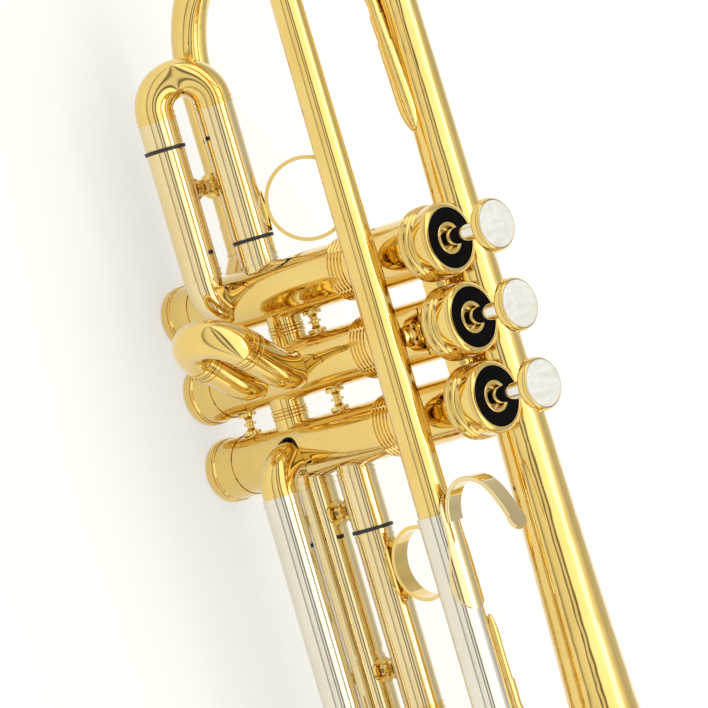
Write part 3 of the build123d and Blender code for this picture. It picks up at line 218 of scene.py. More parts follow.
class SharedGroups:
    """The shader node groups that more than one finish uses.

    Each scale is in cells per metre, and LINE_SHARE is how high the fine lines stand beside the waves.
    """

    WAVE_SCALE = 55.0
    LINE_SHARE = 0.02
    SHADE_PATCH_SCALE = 700.0
    CLUSTER_SCALE = 90.0
    SMEAR_SCALE = 130.0

    def build(self) -> None:
        """Builds every group once."""
        self.mottle()
        self.tool_lines()
        self.crevice_shade()
        self.specks()
        self.haze()

    def _start(self, name: str, inputs: dict[str, tuple[str, object]],
               outputs: dict[str, str]) -> tuple[Bench, bpy.types.Node, bpy.types.Node]:
        """Opens a group with its sockets.

        Args:
            name: the group's name.
            inputs: the socket type and default of each input.
            outputs: the socket type of each output.

        Returns:
            The bench, the group's input node and its output node.
        """
        tree = bpy.data.node_groups.new(name, "ShaderNodeTree")
        for label, (kind, value) in inputs.items():
            socket = tree.interface.new_socket(name=label, in_out="INPUT", socket_type="NodeSocket" + kind)
            if value is not None:
                socket.default_value = value
        for label, kind in outputs.items():
            tree.interface.new_socket(name=label, in_out="OUTPUT", socket_type="NodeSocket" + kind)
        return Bench(tree), tree.nodes.new("NodeGroupInput"), tree.nodes.new("NodeGroupOutput")

    def mottle(self) -> None:
        """Two tones that drift over a surface, as lacquer does where it lies thicker."""
        bench, given, out = self._start(
            "mottle",
            {"Vector": ("Vector", None), "Light": ("Color", (1, 1, 1, 1)), "Deep": ("Color", (0, 0, 0, 1)),
             "Scale": ("Float", 40.0), "Contrast": ("Float", 0.5)},
            {"Color": "Color"},
        )
        broad = bench.add("TexNoise", {"Detail": 3.0, "Roughness": 0.55})
        bench.join(given.outputs["Vector"], broad.inputs["Vector"])
        bench.join(given.outputs["Scale"], broad.inputs["Scale"])
        share = bench.spread(broad.outputs["Fac"], 0.3, 0.7)
        held = bench.combine(share, given.outputs["Contrast"], "MULTIPLY")
        bench.join(bench.blend(held, given.outputs["Light"], given.outputs["Deep"]), out.inputs["Color"])

    def tool_lines(self) -> None:
        """Fine polishing or turning lines over the waviness of a hand-worked tube."""
        bench, given, out = self._start(
            "tool_lines",
            {"Vector": ("Vector", None), "Stretch": ("Vector", (1.0, 1.0, 1.0)), "Scale": ("Float", 3000.0),
             "Waviness": ("Float", 0.3)},
            {"Height": "Float"},
        )
        stretched = bench.add("VectorMath", operation="MULTIPLY")
        bench.join(given.outputs["Vector"], stretched.inputs[0])
        bench.join(given.outputs["Stretch"], stretched.inputs[1])
        lines = bench.add("TexNoise", {"Detail": 2.0, "Roughness": 0.6})
        bench.join(stretched.outputs[0], lines.inputs["Vector"])
        bench.join(given.outputs["Scale"], lines.inputs["Scale"])
        broad = bench.noise(given.outputs["Vector"], self.WAVE_SCALE, 1.0)
        waves = bench.combine(broad, given.outputs["Waviness"], "MULTIPLY")
        fine = bench.times(lines.outputs["Fac"], self.LINE_SHARE)
        bench.join(bench.combine(fine, waves), out.inputs["Height"])

    def crevice_shade(self) -> None:
        """Painted shade where a surface is shut in, as beside a solder joint or in a groove, found by
        ambient occlusion and made patchy by noise.
        """
        bench, given, out = self._start(
            "crevice_shade",
            {"Vector": ("Vector", None), "Reach": ("Float", 0.003), "Amount": ("Float", 0.6)},
            {"Mask": "Float"},
        )
        shut = bench.add("AmbientOcclusion", samples=4, only_local=False)
        bench.join(given.outputs["Reach"], shut.inputs["Distance"])
        closed = bench.spread(shut.outputs["AO"], 0.2, 0.75, 1.0, 0.0)
        # Noise that breaks the painted shade into patches.
        shade_patches = bench.noise(given.outputs["Vector"], self.SHADE_PATCH_SCALE, 3.0)
        patchy = bench.spread(shade_patches, 0.3, 0.6, 0.45, 1.0)
        held = bench.combine(closed, patchy, "MULTIPLY")
        bench.join(bench.combine(held, given.outputs["Amount"], "MULTIPLY"), out.inputs["Mask"])

    def specks(self) -> None:
        """Small marks in scattered clusters, as pin-point pits in lacquer."""
        bench, given, out = self._start(
            "specks",
            {"Vector": ("Vector", None), "Scale": ("Float", 400.0), "Size": ("Float", 0.12)},
            {"Mask": "Float"},
        )
        cells = bench.add("TexVoronoi", {"Randomness": 1.0})
        bench.join(given.outputs["Vector"], cells.inputs["Vector"])
        bench.join(given.outputs["Scale"], cells.inputs["Scale"])
        spot = bench.add("Math", operation="LESS_THAN")
        bench.join(cells.outputs["Distance"], spot.inputs[0])
        bench.join(given.outputs["Size"], spot.inputs[1])
        few = bench.spread(bench.noise(given.outputs["Vector"], self.CLUSTER_SCALE), 0.5, 0.62)
        bench.join(bench.combine(spot.outputs[0], few, "MULTIPLY"), out.inputs["Mask"])

    def haze(self) -> None:
        """The uneven dullness that handling leaves, between two roughnesses."""
        bench, given, out = self._start(
            "haze",
            {"Vector": ("Vector", None), "Clean": ("Float", 0.05), "Dull": ("Float", 0.12)},
            {"Roughness": "Float"},
        )
        smear = bench.spread(bench.noise(given.outputs["Vector"], self.SMEAR_SCALE, 4.0, 0.6), 0.42, 0.68)
        reach = bench.combine(given.outputs["Dull"], given.outputs["Clean"], "SUBTRACT")
        rise = bench.combine(smear, reach, "MULTIPLY")
        bench.join(bench.combine(rise, given.outputs["Clean"]), out.inputs["Roughness"])


# ---------------------------------------------------------------- finishes
class Grain(Enum):
    """The way that a metal's fine lines run, as the stretch of their pattern."""

    ALONG_TUBE = (0.03, 1.0, 1.0)
    ROUND_VALVE = (1.0, 1.0, 14.0)
    UP_VALVE = (1.0, 1.0, 0.03)
    EVERY_WAY = (1.0, 1.0, 1.0)


@dataclass(frozen=True)
class MetalFinish:
    """A worked metal, bare or under clear lacquer."""

    name: str
    light: Colour
    deep: Colour
    # The colour of the pits in the lacquer, which also paints shade into the crevices.
    tarnish_and_shade: Colour
    clean: float
    dull: float
    lacquer: float = 0.0
    grain: Grain = Grain.ALONG_TUBE
    line_scale: float = 3000.0
    waviness: float = 0.08
    depth: float = 0.00012
    contrast: float = 0.6
    # How strongly painted shade darkens the crevices, how far its occlusion reaches, and how much rougher
    # the crevices get.
    crevice_shade: float = 0.6
    crevice_reach: float = 0.0025
    crevice_dulling: float = 0.12
    mottle_scale: float = 45.0
    pit_scale: float = 520.0
    pit_size: float = 0.06
    lacquer_roughness: float = 0.02
    lacquer_ior: float = 1.5
    anisotropy: float = 0.0

    def make(self) -> bpy.types.Material:
        """Builds the finish's material.

        Returns:
            The material, with its colour, dullness and normal from nodes.
        """
        material, bench, shader, place = new_material(self.name)
        tone = bench.group("mottle", Vector=place, Light=(*self.light, 1.0), Deep=(*self.deep, 1.0),
                           Scale=self.mottle_scale, Contrast=self.contrast)
        shut = bench.group("crevice_shade", Vector=place, Reach=self.crevice_reach, Amount=self.crevice_shade)
        pits = bench.group("specks", Vector=place, Scale=self.pit_scale, Size=self.pit_size)
        # Painted shade: where ambient occlusion finds a crevice, the colour is darkened towards the tarnish
        # colour; the pits then take that colour as real marks.
        crevice_shaded = bench.blend(shut.outputs["Mask"], tone.outputs["Color"], self.tarnish_and_shade)
        bench.join(bench.blend(pits.outputs["Mask"], crevice_shaded, self.tarnish_and_shade), shader.inputs["Base Color"])
        dullness = bench.group("haze", Vector=place, Clean=self.clean, Dull=self.dull)
        rough = bench.combine(dullness.outputs["Roughness"],
                              bench.spread(shut.outputs["Mask"], 0.0, 1.0, 0.0, self.crevice_dulling))
        bench.join(rough, shader.inputs["Roughness"])
        lines = bench.group("tool_lines", Vector=place, Stretch=self.grain.value, Scale=self.line_scale,
                            Waviness=self.waviness)
        bench.join(bench.bump(lines.outputs["Height"], self.depth), shader.inputs["Normal"])
        shader.inputs["Metallic"].default_value = 1.0
        shader.inputs["Anisotropic"].default_value = self.anisotropy
        shader.inputs["Coat Weight"].default_value = self.lacquer
        shader.inputs["Coat Roughness"].default_value = self.lacquer_roughness
        shader.inputs["Coat IOR"].default_value = self.lacquer_ior
        return material


@dataclass(frozen=True)
class PearlFinish:
    """Mother of pearl: bands of warm and cool white that shift under a polished face."""

    name: str = "pearl"
    warm: Colour = (0.67, 0.655, 0.585)
    cool: Colour = (0.58, 0.61, 0.55)
    bright: Colour = (0.74, 0.735, 0.685)
    band_scale: float = 260.0
    band_turn: float = 0.5
    band_stretch: float = 0.22
    shimmer_scale: float = 420.0
    relief: float = 0.02 * MM
    glow_share: float = 0.15
    glow_depth: float = 0.8 * MM

    def make(self) -> bpy.types.Material:
        """Builds the finish's material."""
        material, bench, shader, place = new_material(self.name)
        bend = bench.add("Mapping", {"Rotation": (0.0, 0.0, self.band_turn),
                                     "Scale": (1.0, self.band_stretch, 1.0)})
        bench.join(place, bend.inputs["Vector"])
        growth = bench.add("TexNoise", {"Scale": self.band_scale, "Detail": 4.0, "Roughness": 0.55,
                                        "Distortion": 1.6})
        bench.join(bend.outputs["Vector"], growth.inputs["Vector"])
        base = bench.blend(bench.spread(growth.outputs["Fac"], 0.36, 0.62), self.warm, self.bright)
        shimmer = bench.noise(place, self.shimmer_scale, 3.0, 0.6)
        tinted = bench.blend(bench.spread(shimmer, 0.46, 0.74, 0.0, 0.7), base, self.cool)
        bench.join(tinted, shader.inputs["Base Color"])
        bench.join(bench.spread(growth.outputs["Fac"], 0.3, 0.7, 0.12, 0.26), shader.inputs["Roughness"])
        bench.join(bench.bump(growth.outputs["Fac"], self.relief), shader.inputs["Normal"])
        shader.inputs["Subsurface Weight"].default_value = self.glow_share
        shader.inputs["Subsurface Scale"].default_value = self.glow_depth
        shader.inputs["Coat Weight"].default_value = 0.5
        shader.inputs["Coat Roughness"].default_value = 0.08
        return material


@dataclass(frozen=True)
class SoftFinish:
    """Felt, rubber, cork or moulded plastic: a matt surface with its own fine relief."""

    name: str
    light: Colour
    deep: Colour
    rough: tuple[float, float]
    scale: float
    depth: float
    sheen: float = 0.0
    gloss: float = 0.5
    cells: bool = False
    broad_share: float = 0.12
    mottle_share: float = 0.5
    mottle_contrast: float = 0.8

    def make(self) -> bpy.types.Material:
        """Builds the finish's material."""
        material, bench, shader, place = new_material(self.name)
        if self.cells:
            grain = bench.add("TexVoronoi", {"Scale": self.scale, "Randomness": 1.0})
            bench.join(place, grain.inputs["Vector"])
            height = grain.outputs["Distance"]
        else:
            height = bench.noise(place, self.scale, 6.0, 0.72)
        broad = bench.noise(place, self.scale * self.broad_share, 3.0)
        both = bench.combine(height, broad, "MULTIPLY")
        tone = bench.group("mottle", Vector=place, Light=(*self.light, 1.0), Deep=(*self.deep, 1.0),
                           Scale=self.scale * self.mottle_share, Contrast=self.mottle_contrast)
        flecked = bench.blend(bench.spread(both, 0.15, 0.4), self.deep, tone.outputs["Color"])
        bench.join(flecked, shader.inputs["Base Color"])
        bench.join(bench.spread(both, 0.1, 0.45, *self.rough), shader.inputs["Roughness"])
        bench.join(bench.bump(height, self.depth), shader.inputs["Normal"])
        shader.inputs["Specular IOR Level"].default_value = self.gloss
        shader.inputs["Sheen Weight"].default_value = self.sheen
        shader.inputs["Sheen Roughness"].default_value = 0.5
        return material


def new_material(name: str) -> tuple[bpy.types.Material, Bench, bpy.types.Node, bpy.types.NodeSocket]:
    """Starts a material with a Principled shader and Object coordinates.

    Args:
        name: the material's name.

    Returns:
        The material, a bench on its tree, its shader and its Object coordinate socket.
    """
    material = bpy.data.materials.new(name)
    material.use_nodes = True
    material.node_tree.nodes.clear()
    bench = Bench(material.node_tree)
    shader = bench.add("BsdfPrincipled")
    out = bench.add("OutputMaterial")
    bench.join(shader.outputs["BSDF"], out.inputs["Surface"])
    place = bench.add("TexCoord").outputs["Object"]
    return material, bench, shader, place


class FinishRack:
    """Every finish of the trumpet, made once and asked for by name."""

    BRASS_LIGHT: Colour = (0.82, 0.60, 0.175)
    BRASS_DEEP: Colour = (0.76, 0.515, 0.12)
    # Dark orange-brown of the pits, also used to paint shade into the crevices.
    BRASS_TARNISH_AND_SHADE: Colour = (0.30, 0.12, 0.025)

    def __init__(self) -> None:
        """Makes the shared groups and the materials."""
        SharedGroups().build()
        brass = {"light": self.BRASS_LIGHT, "deep": self.BRASS_DEEP, "tarnish_and_shade": self.BRASS_TARNISH_AND_SHADE,
                 "clean": 0.05, "dull": 0.085, "lacquer": 1.0}
        metals = [
            MetalFinish("brass_tube", **brass),
            MetalFinish("brass_casing", **{**brass, "grain": Grain.UP_VALVE}),
            MetalFinish("brass_turned", **{**brass, "grain": Grain.ROUND_VALVE, "crevice_reach": 0.0012}),
            MetalFinish("brass_bell", **{**brass, "waviness": 0.1}),
            MetalFinish("pale_brass", light=(0.81, 0.66, 0.35), deep=(0.76, 0.585, 0.27),
                        tarnish_and_shade=(0.36, 0.2, 0.07), clean=0.05, dull=0.09, lacquer=0.8),
            MetalFinish("satin_brass", light=(0.84, 0.62, 0.25), deep=(0.77, 0.53, 0.18),
                        tarnish_and_shade=(0.36, 0.2, 0.06), clean=0.24, dull=0.33, lacquer=0.35,
                        grain=Grain.EVERY_WAY, line_scale=5200.0, waviness=0.1),
            MetalFinish("nickel_silver", light=(0.78, 0.735, 0.62), deep=(0.72, 0.67, 0.54),
                        tarnish_and_shade=(0.32, 0.26, 0.17), clean=0.045, dull=0.085, lacquer=0.5),
            MetalFinish("silver_plate", light=(0.93, 0.915, 0.88), deep=(0.88, 0.85, 0.79),
                        tarnish_and_shade=(0.4, 0.35, 0.28), clean=0.04, dull=0.09),
            MetalFinish("stem_steel", light=(0.82, 0.81, 0.78), deep=(0.75, 0.73, 0.69),
                        tarnish_and_shade=(0.2, 0.16, 0.12), clean=0.08, dull=0.14, grain=Grain.ROUND_VALVE,
                        waviness=0.05, anisotropy=0.4),
            MetalFinish("lapped_monel", light=(0.70, 0.69, 0.66), deep=(0.62, 0.61, 0.57),
                        tarnish_and_shade=(0.25, 0.22, 0.18), clean=0.16, dull=0.24, grain=Grain.ROUND_VALVE,
                        waviness=0.05),
            MetalFinish("spring_steel", light=(0.60, 0.59, 0.57), deep=(0.48, 0.47, 0.45),
                        tarnish_and_shade=(0.18, 0.14, 0.1), clean=0.2, dull=0.32, grain=Grain.EVERY_WAY,
                        waviness=0.05),
        ]
        softs = [
            SoftFinish("black_felt", light=(0.006, 0.0058, 0.0055), deep=(0.0015, 0.0015, 0.0015),
                       rough=(0.9, 1.0), scale=5200.0, depth=0.00012, sheen=0.01, gloss=0.1),
            SoftFinish("black_rubber", light=(0.03, 0.029, 0.028), deep=(0.012, 0.012, 0.012),
                       rough=(0.4, 0.6), scale=2600.0, depth=0.00002),
            SoftFinish("natural_cork", light=(0.62, 0.43, 0.25), deep=(0.32, 0.19, 0.10),
                       rough=(0.75, 0.95), scale=1500.0, depth=0.0001, cells=True),
            SoftFinish("white_nylon", light=(0.80, 0.79, 0.74), deep=(0.68, 0.66, 0.60), rough=(0.35, 0.5),
                       scale=1200.0, depth=0.00002),
        ]
        self.materials = {finish.name: finish.make() for finish in (*metals, *softs, PearlFinish())}

    def dress(self, piece: bpy.types.Object, name: str) -> None:
        """Gives a piece one finish in place of any it has.

        Args:
            piece: the object to dress.
            name: the finish's name.
        """
        piece.data.materials.clear()
        piece.data.materials.append(self.materials[name])


# ---------------------------------------------------------------- pieces
def turned(mesh: bmesh.types.BMesh, outline: Outline, foot: Vector, steps: int) -> None:
    """Turns a closed outline right round an upright axis.

    Args:
        mesh: the bmesh that takes the new faces.
        outline: radius and height of each corner, in metres, from the foot up.
        foot: the axis's foot.
        steps: facets round the axis.
    """
    before = set(mesh.verts)
    ring = [mesh.verts.new(foot + Vector((radius, 0.0, height))) for radius, height in outline]
    edges = [mesh.edges.new(pair) for pair in zip(ring, ring[1:] + ring[:1])]
    bmesh.ops.spin(mesh, geom=ring + edges, cent=foot, axis=(0, 0, 1), angle=2 * math.pi, steps=steps,
                   use_merge=True)
    made = [v for v in mesh.verts if v not in before]
    bmesh.ops.remove_doubles(mesh, verts=made, dist=SAME_PLACE)


def soften(mesh: bmesh.types.BMesh, width: float, angle_deg: float) -> None:
    """Bevels every edge that turns by more than an angle.

    Args:
        mesh: the bmesh to work on.
        width: the bevel's width in metres.
        angle_deg: the smallest turn that is bevelled.
    """
    limit = math.radians(angle_deg)
    sharp = [e for e in mesh.edges if len(e.link_faces) == 2 and e.calc_face_angle() > limit]
    bmesh.ops.bevel(mesh, geom=sharp, offset=width, offset_type="OFFSET", segments=BEVEL_STEPS, profile=0.5,
                    affect="EDGES", clamp_overlap=True, material=-1)


def finish_piece(mesh: bmesh.types.BMesh, name: str, smooth_deg: float = 40.0) -> bpy.types.Object:
    """Closes a bmesh into an object at the origin.

    Args:
        mesh: the finished bmesh.
        name: the piece's name.
        smooth_deg: edges that turn by less than this are shaded smooth.

    Returns:
        The linked object.
    """
    bmesh.ops.recalc_face_normals(mesh, faces=mesh.faces)
    data = bpy.data.meshes.new(name)
    mesh.to_mesh(data)
    mesh.free()
    data.polygons.foreach_set("use_smooth", [True] * len(data.polygons))
    data.set_sharp_from_angle(angle=math.radians(smooth_deg))
    piece = bpy.data.objects.new(name, data)
    bpy.context.scene.collection.objects.link(piece)
    return piece


def middle_of(node: str) -> Vector:
    """The middle of a CAD node's box."""
    low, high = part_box(node)
    return (low + high) / 2


@dataclass
class ValveTops:
    """The caps, felts, finger buttons and pearls of the three valves."""

    valves: tuple[str, str, str] = ("valve_casing_1", "valve_casing_2", "valve_casing_3")
    cap_radius: float = 12.75 * MM
    cap_rings: int = 4
    cap_ring_height: float = 1.62 * MM
    cap_bore: float = 10.75 * MM
    cap_seat: float = 58.05 * MM
    web_foot: float = 59.0 * MM
    web_top: float = 61.0 * MM
    web_bore: float = 3.1 * MM
    barrel_room: float = 8.8 * MM
    bush_bore: float = 4.1 * MM
    bottom_radius: float = 11.0 * MM
    bottom_room: float = 8.7 * MM
    bottom_web: float = 1.8 * MM
    bottom_seat: float = 9.4 * MM
    drain_hole: float = 1.5 * MM
    skirt_bore: float = 10.05 * MM
    felt_radius: float = 10.0 * MM
    felt_hub: float = 5.6 * MM
    felt_edge: float = 0.25 * MM
    felt_nap: float = 0.05 * MM
    felt_steps: int = 12
    felt_facets: int = 180
    bevel: float = 0.12 * MM
    cap_sharp_deg: float = 26.0
    button_sharp_deg: float = 24.0
    pearl_gap: float = 0.03 * MM
    pearl_edge: float = 0.8 * MM
    pearl_dome: float = 0.25 * MM
    pearl_steps: int = 10
    facets: int = 128
    made: list[bpy.types.Object] = field(default_factory=list)

    def axes(self) -> list[Vector]:
        """The foot of each valve's axis, on the origin's plane."""
        return [Vector((middle_of(node).x, 0.0, 0.0)) for node in self.valves]

    def cap_outline(self) -> Outline:
        """The top cap's wall: a ringed skirt, a plain drum, a rolled lip and the seat of the felt."""
        low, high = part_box("top_caps")
        felt_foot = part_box("cap_felts")[0].z
        wide, step = self.cap_radius, self.cap_ring_height
        hub = self.felt_hub - 0.1 * MM
        outline = [(self.cap_bore, low.z), (11.5 * MM, low.z), (11.7 * MM, low.z + 0.5 * MM)]
        height = low.z + 0.9 * MM
        for ring in range(self.cap_rings):
            radius = wide - (0.15 * MM if ring in (0, self.cap_rings - 1) else 0.0)
            outline += [(radius - 0.75 * MM, height), (radius - 0.2 * MM, height + 0.28 * step),
                        (radius, height + 0.5 * step), (radius - 0.2 * MM, height + 0.72 * step)]
            height += step
        outline += [(wide - 1.0 * MM, height), (wide - 0.55 * MM, height + 0.5 * MM)]
        outline += [(wide - 0.45 * MM, high.z - 2.4 * MM), (wide - 0.5 * MM, high.z - 1.6 * MM)]
        outline += [(wide - 0.95 * MM, high.z - 0.7 * MM), (wide - 1.7 * MM, high.z - 0.1 * MM)]
        outline += [(wide - 2.2 * MM, high.z), (self.felt_radius + 0.25 * MM, high.z)]
        outline += [(self.felt_radius + 0.08 * MM, felt_foot), (hub, felt_foot)]
        outline += [(hub, high.z - 0.45 * MM), (self.felt_hub - 0.35 * MM, high.z - 0.25 * MM)]
        outline += [(self.bush_bore + 0.2 * MM, high.z - 0.3 * MM), (self.bush_bore, high.z - 0.6 * MM)]
        outline += [(self.bush_bore, self.web_top), (self.web_bore, self.web_top)]
        outline += [(self.web_bore, self.web_foot), (self.barrel_room, self.web_foot)]
        outline += [(self.barrel_room, self.cap_seat), (self.cap_bore, self.cap_seat)]
        return outline

    def build_caps(self, rack: FinishRack) -> None:
        """Turns the three top caps."""
        mesh = bmesh.new()
        for foot in self.axes():
            turned(mesh, self.cap_outline(), foot, self.facets)
        soften(mesh, self.bevel, self.cap_sharp_deg)
        self._keep(finish_piece(mesh, "turned_top_caps"), "frame", "top_caps", "brass_turned", rack)

    def bottom_cap_outline(self) -> Outline:
        """The bottom cap's wall: a rounded foot, two fine rings and a thin skirt over the casing."""
        low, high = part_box("bottom_caps")
        wide, foot, skirt = self.bottom_radius, low.z, high.z
        seat, web = foot + self.bottom_seat, foot + self.bottom_web
        outline = [(self.drain_hole, foot + 0.25 * MM), (1.9 * MM, foot), (wide - 1.5 * MM, foot)]
        outline += [(wide - 0.9 * MM, foot + 0.1 * MM), (wide - 0.35 * MM, foot + 0.45 * MM)]
        outline += [(wide - 0.08 * MM, foot + 1.0 * MM), (wide, foot + 1.6 * MM), (wide, foot + 3.3 * MM)]
        outline += [(wide - 0.1 * MM, foot + 3.6 * MM), (wide - 0.42 * MM, foot + 3.75 * MM)]
        outline += [(wide - 0.42 * MM, foot + 4.05 * MM), (wide - 0.1 * MM, foot + 4.2 * MM)]
        outline += [(wide, foot + 4.55 * MM), (wide - 0.1 * MM, foot + 4.9 * MM)]
        outline += [(wide - 0.42 * MM, foot + 5.1 * MM), (wide - 0.5 * MM, foot + 5.5 * MM)]
        outline += [(wide - 0.62 * MM, skirt - 0.5 * MM), (wide - 0.7 * MM, skirt), (self.skirt_bore, skirt)]
        outline += [(self.skirt_bore, seat), (self.bottom_room, seat), (self.bottom_room, web)]
        return outline + [(self.drain_hole, web)]

    def build_bottom_caps(self, rack: FinishRack) -> None:
        """Turns the three bottom caps."""
        mesh = bmesh.new()
        for foot in self.axes():
            turned(mesh, self.bottom_cap_outline(), foot, self.facets)
        self._keep(finish_piece(mesh, "turned_bottom_caps", smooth_deg=32.0), "frame", "bottom_caps",
                   "brass_turned", rack)

    def build_felts(self, rack: FinishRack) -> None:
        """Cuts the felt ring of each cap, with a face that sinks unevenly into a soft nap."""
        low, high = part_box("cap_felts")
        edge, steps = self.felt_edge, self.felt_steps
        span = self.felt_radius - self.felt_hub - 2 * edge
        outline = [(self.felt_hub, low.z), (self.felt_radius, low.z), (self.felt_radius, high.z - edge)]
        outline += [(self.felt_radius - edge - span * n / steps, high.z) for n in range(steps)]
        outline += [(self.felt_hub + edge, high.z), (self.felt_hub, high.z - edge)]
        mesh = bmesh.new()
        for foot in self.axes():
            turned(mesh, outline, foot, self.felt_facets)
        nap(mesh, high.z, self.felt_nap)
        self._keep(finish_piece(mesh, "cap_felt_rings", smooth_deg=60.0), "frame", "cap_felts",
                   "black_felt", rack)

    def button_outline(self, number: int) -> Outline:
        """A finger button's half section: a flat underside, a rounded rim and the seat of the pearl."""
        low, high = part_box(f"button_{number}")
        pearl_low, pearl_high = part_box(f"button_pearl_{number}")
        rim = (high.x - low.x) / 2
        pearl = (pearl_high.x - pearl_low.x) / 2
        seat = pearl + self.pearl_gap
        outline = [(0.0, low.z), (5.9 * MM, low.z), (6.9 * MM, low.z + 0.15 * MM)]
        outline += [(7.7 * MM, low.z + 0.7 * MM), (8.15 * MM, low.z + 1.35 * MM)]
        outline += [(rim - 0.55 * MM, low.z + 1.55 * MM), (rim - 0.2 * MM, low.z + 1.95 * MM)]
        outline += [(rim, low.z + 2.6 * MM), (rim, low.z + 3.3 * MM), (rim - 0.25 * MM, low.z + 4.1 * MM)]
        outline += [(rim - 0.55 * MM, low.z + 4.65 * MM), (rim - 0.85 * MM, high.z - 0.08 * MM)]
        outline += [(pearl + 0.2 * MM, high.z), (seat, high.z - 0.35 * MM), (seat, pearl_low.z)]
        return outline + [(0.0, pearl_low.z)]

    def pearl_outline(self, number: int) -> Outline:
        """A pearl's half section: a flat back, a rounded edge and a face that is dished to its middle."""
        low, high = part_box(f"button_pearl_{number}")
        wide, top = (high.x - low.x) / 2, high.z
        outline = [(0.0, low.z), (wide, low.z), (wide, top - 0.55 * MM)]
        outline += [(wide - 0.12 * MM, top - 0.28 * MM), (wide - 0.42 * MM, top - 0.08 * MM)]
        for step in range(self.pearl_steps + 1):
            radius = (wide - self.pearl_edge) * (1 - step / self.pearl_steps)
            outline.append((radius, top - self.pearl_dome * (1 - (radius / wide) ** 2)))
        return outline

    def build_buttons(self, rack: FinishRack) -> None:
        """Turns each finger button and the pearl that is set in it."""
        for number, foot in enumerate(self.axes(), start=1):
            mesh = bmesh.new()
            turned(mesh, self.button_outline(number), foot, self.facets)
            soften(mesh, self.bevel, self.button_sharp_deg)
            self._keep(finish_piece(mesh, f"turned_button_{number}"), f"valve_{number}", f"button_{number}",
                       "brass_turned", rack)
            mesh = bmesh.new()
            turned(mesh, self.pearl_outline(number), foot, self.facets)
            self._keep(finish_piece(mesh, f"dished_pearl_{number}", smooth_deg=50.0), f"valve_{number}",
                       f"button_pearl_{number}", "pearl", rack)

    def _keep(self, piece: bpy.types.Object, body: str, node: str, finish: str, rack: FinishRack) -> None:
        """Dresses a piece, rides it on its body and lets it stand for its CAD node."""
        rack.dress(piece, finish)
        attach(piece, body)
        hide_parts(node)
        self.made.append(piece)

    def build(self, rack: FinishRack) -> list[bpy.types.Object]:
        """Builds the caps, felts and buttons.

        Args:
            rack: the finishes.

        Returns:
            The new pieces.
        """
        self.build_caps(rack)
        self.build_bottom_caps(rack)
        self.build_felts(rack)
        self.build_buttons(rack)
        return self.made


def wire(mesh: bmesh.types.BMesh, points: list[Vector], radius: float, sides: int = 12) -> None:
    """Draws a round wire along a line of points, closed at both ends.

    Args:
        mesh: the bmesh that takes the wire.
        points: the wire's centre line.
        radius: the wire's radius.
        sides: facets round the wire.
    """
    rings = []
    side = Vector((0.0, 1.0, 0.0))
    for number, point in enumerate(points):
        ahead = points[min(number + 1, len(points) - 1)] - points[max(number - 1, 0)]
        ahead.normalize()
        side = (side - ahead * side.dot(ahead)).normalized()
        other = ahead.cross(side)
        turns = (2 * math.pi * n / sides for n in range(sides))
        ways = (side * math.cos(turn) + other * math.sin(turn) for turn in turns)
        rings.append([mesh.verts.new(point + way * radius) for way in ways])
    for first, second in zip(rings, rings[1:]):
        for n in range(sides):
            mesh.faces.new((first[n], first[n - 1], second[n - 1], second[n]))
    mesh.faces.new(rings[0])
    mesh.faces.new(list(reversed(rings[-1])))


@dataclass
class KeySpring:
    """The water key's double torsion spring, coiled on both sides of the lever."""

    wire_radius: float = 0.21 * MM
    coil_radius: float = 2.12 * MM
    inner_gap: float = 1.68 * MM
    turns: int = 2
    steps_per_turn: int = 28
    pitch_in_wires: float = 2.3
    crowding: float = 0.8
    leg: float = 2.6 * MM

    def side(self, pivot: Vector, way: int) -> list[Vector]:
        """One side's line, from the lever's touch round the pivot to the slide tube.

        Args:
            pivot: the middle of the key's pivot.
            way: -1 for the player's right, 1 for the left.

        Returns:
            The centre line of the wire.
        """
        steps = self.steps_per_turn * self.turns
        pitch = self.pitch_in_wires * self.wire_radius
        points = [pivot + Vector((-self.leg, way * self.inner_gap, -self.coil_radius))]
        for n in range(steps + 1):
            angle = -math.pi / 2 - 2 * math.pi * self.turns * n / steps
            shift = way * (self.inner_gap + pitch * self.turns * n / steps * self.crowding)
            points.append(pivot + Vector((math.cos(angle) * self.coil_radius, shift,
                                          math.sin(angle) * self.coil_radius)))
        return points + [points[-1] + Vector((-self.leg, 0.0, 0.0))]

    def build(self, rack: FinishRack) -> bpy.types.Object:
        """Winds the spring and hangs it on the main slide."""
        mesh = bmesh.new()
        screw = middle_of("water_key_screw")
        pivot = Vector((screw.x, middle_of("main_slide_legs").y, screw.z))
        for way in (-1, 1):
            wire(mesh, self.side(pivot, way), self.wire_radius)
        spring = finish_piece(mesh, "water_key_spring", smooth_deg=60.0)
        rack.dress(spring, "spring_steel")
        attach(spring, "main_slide")
        return spring


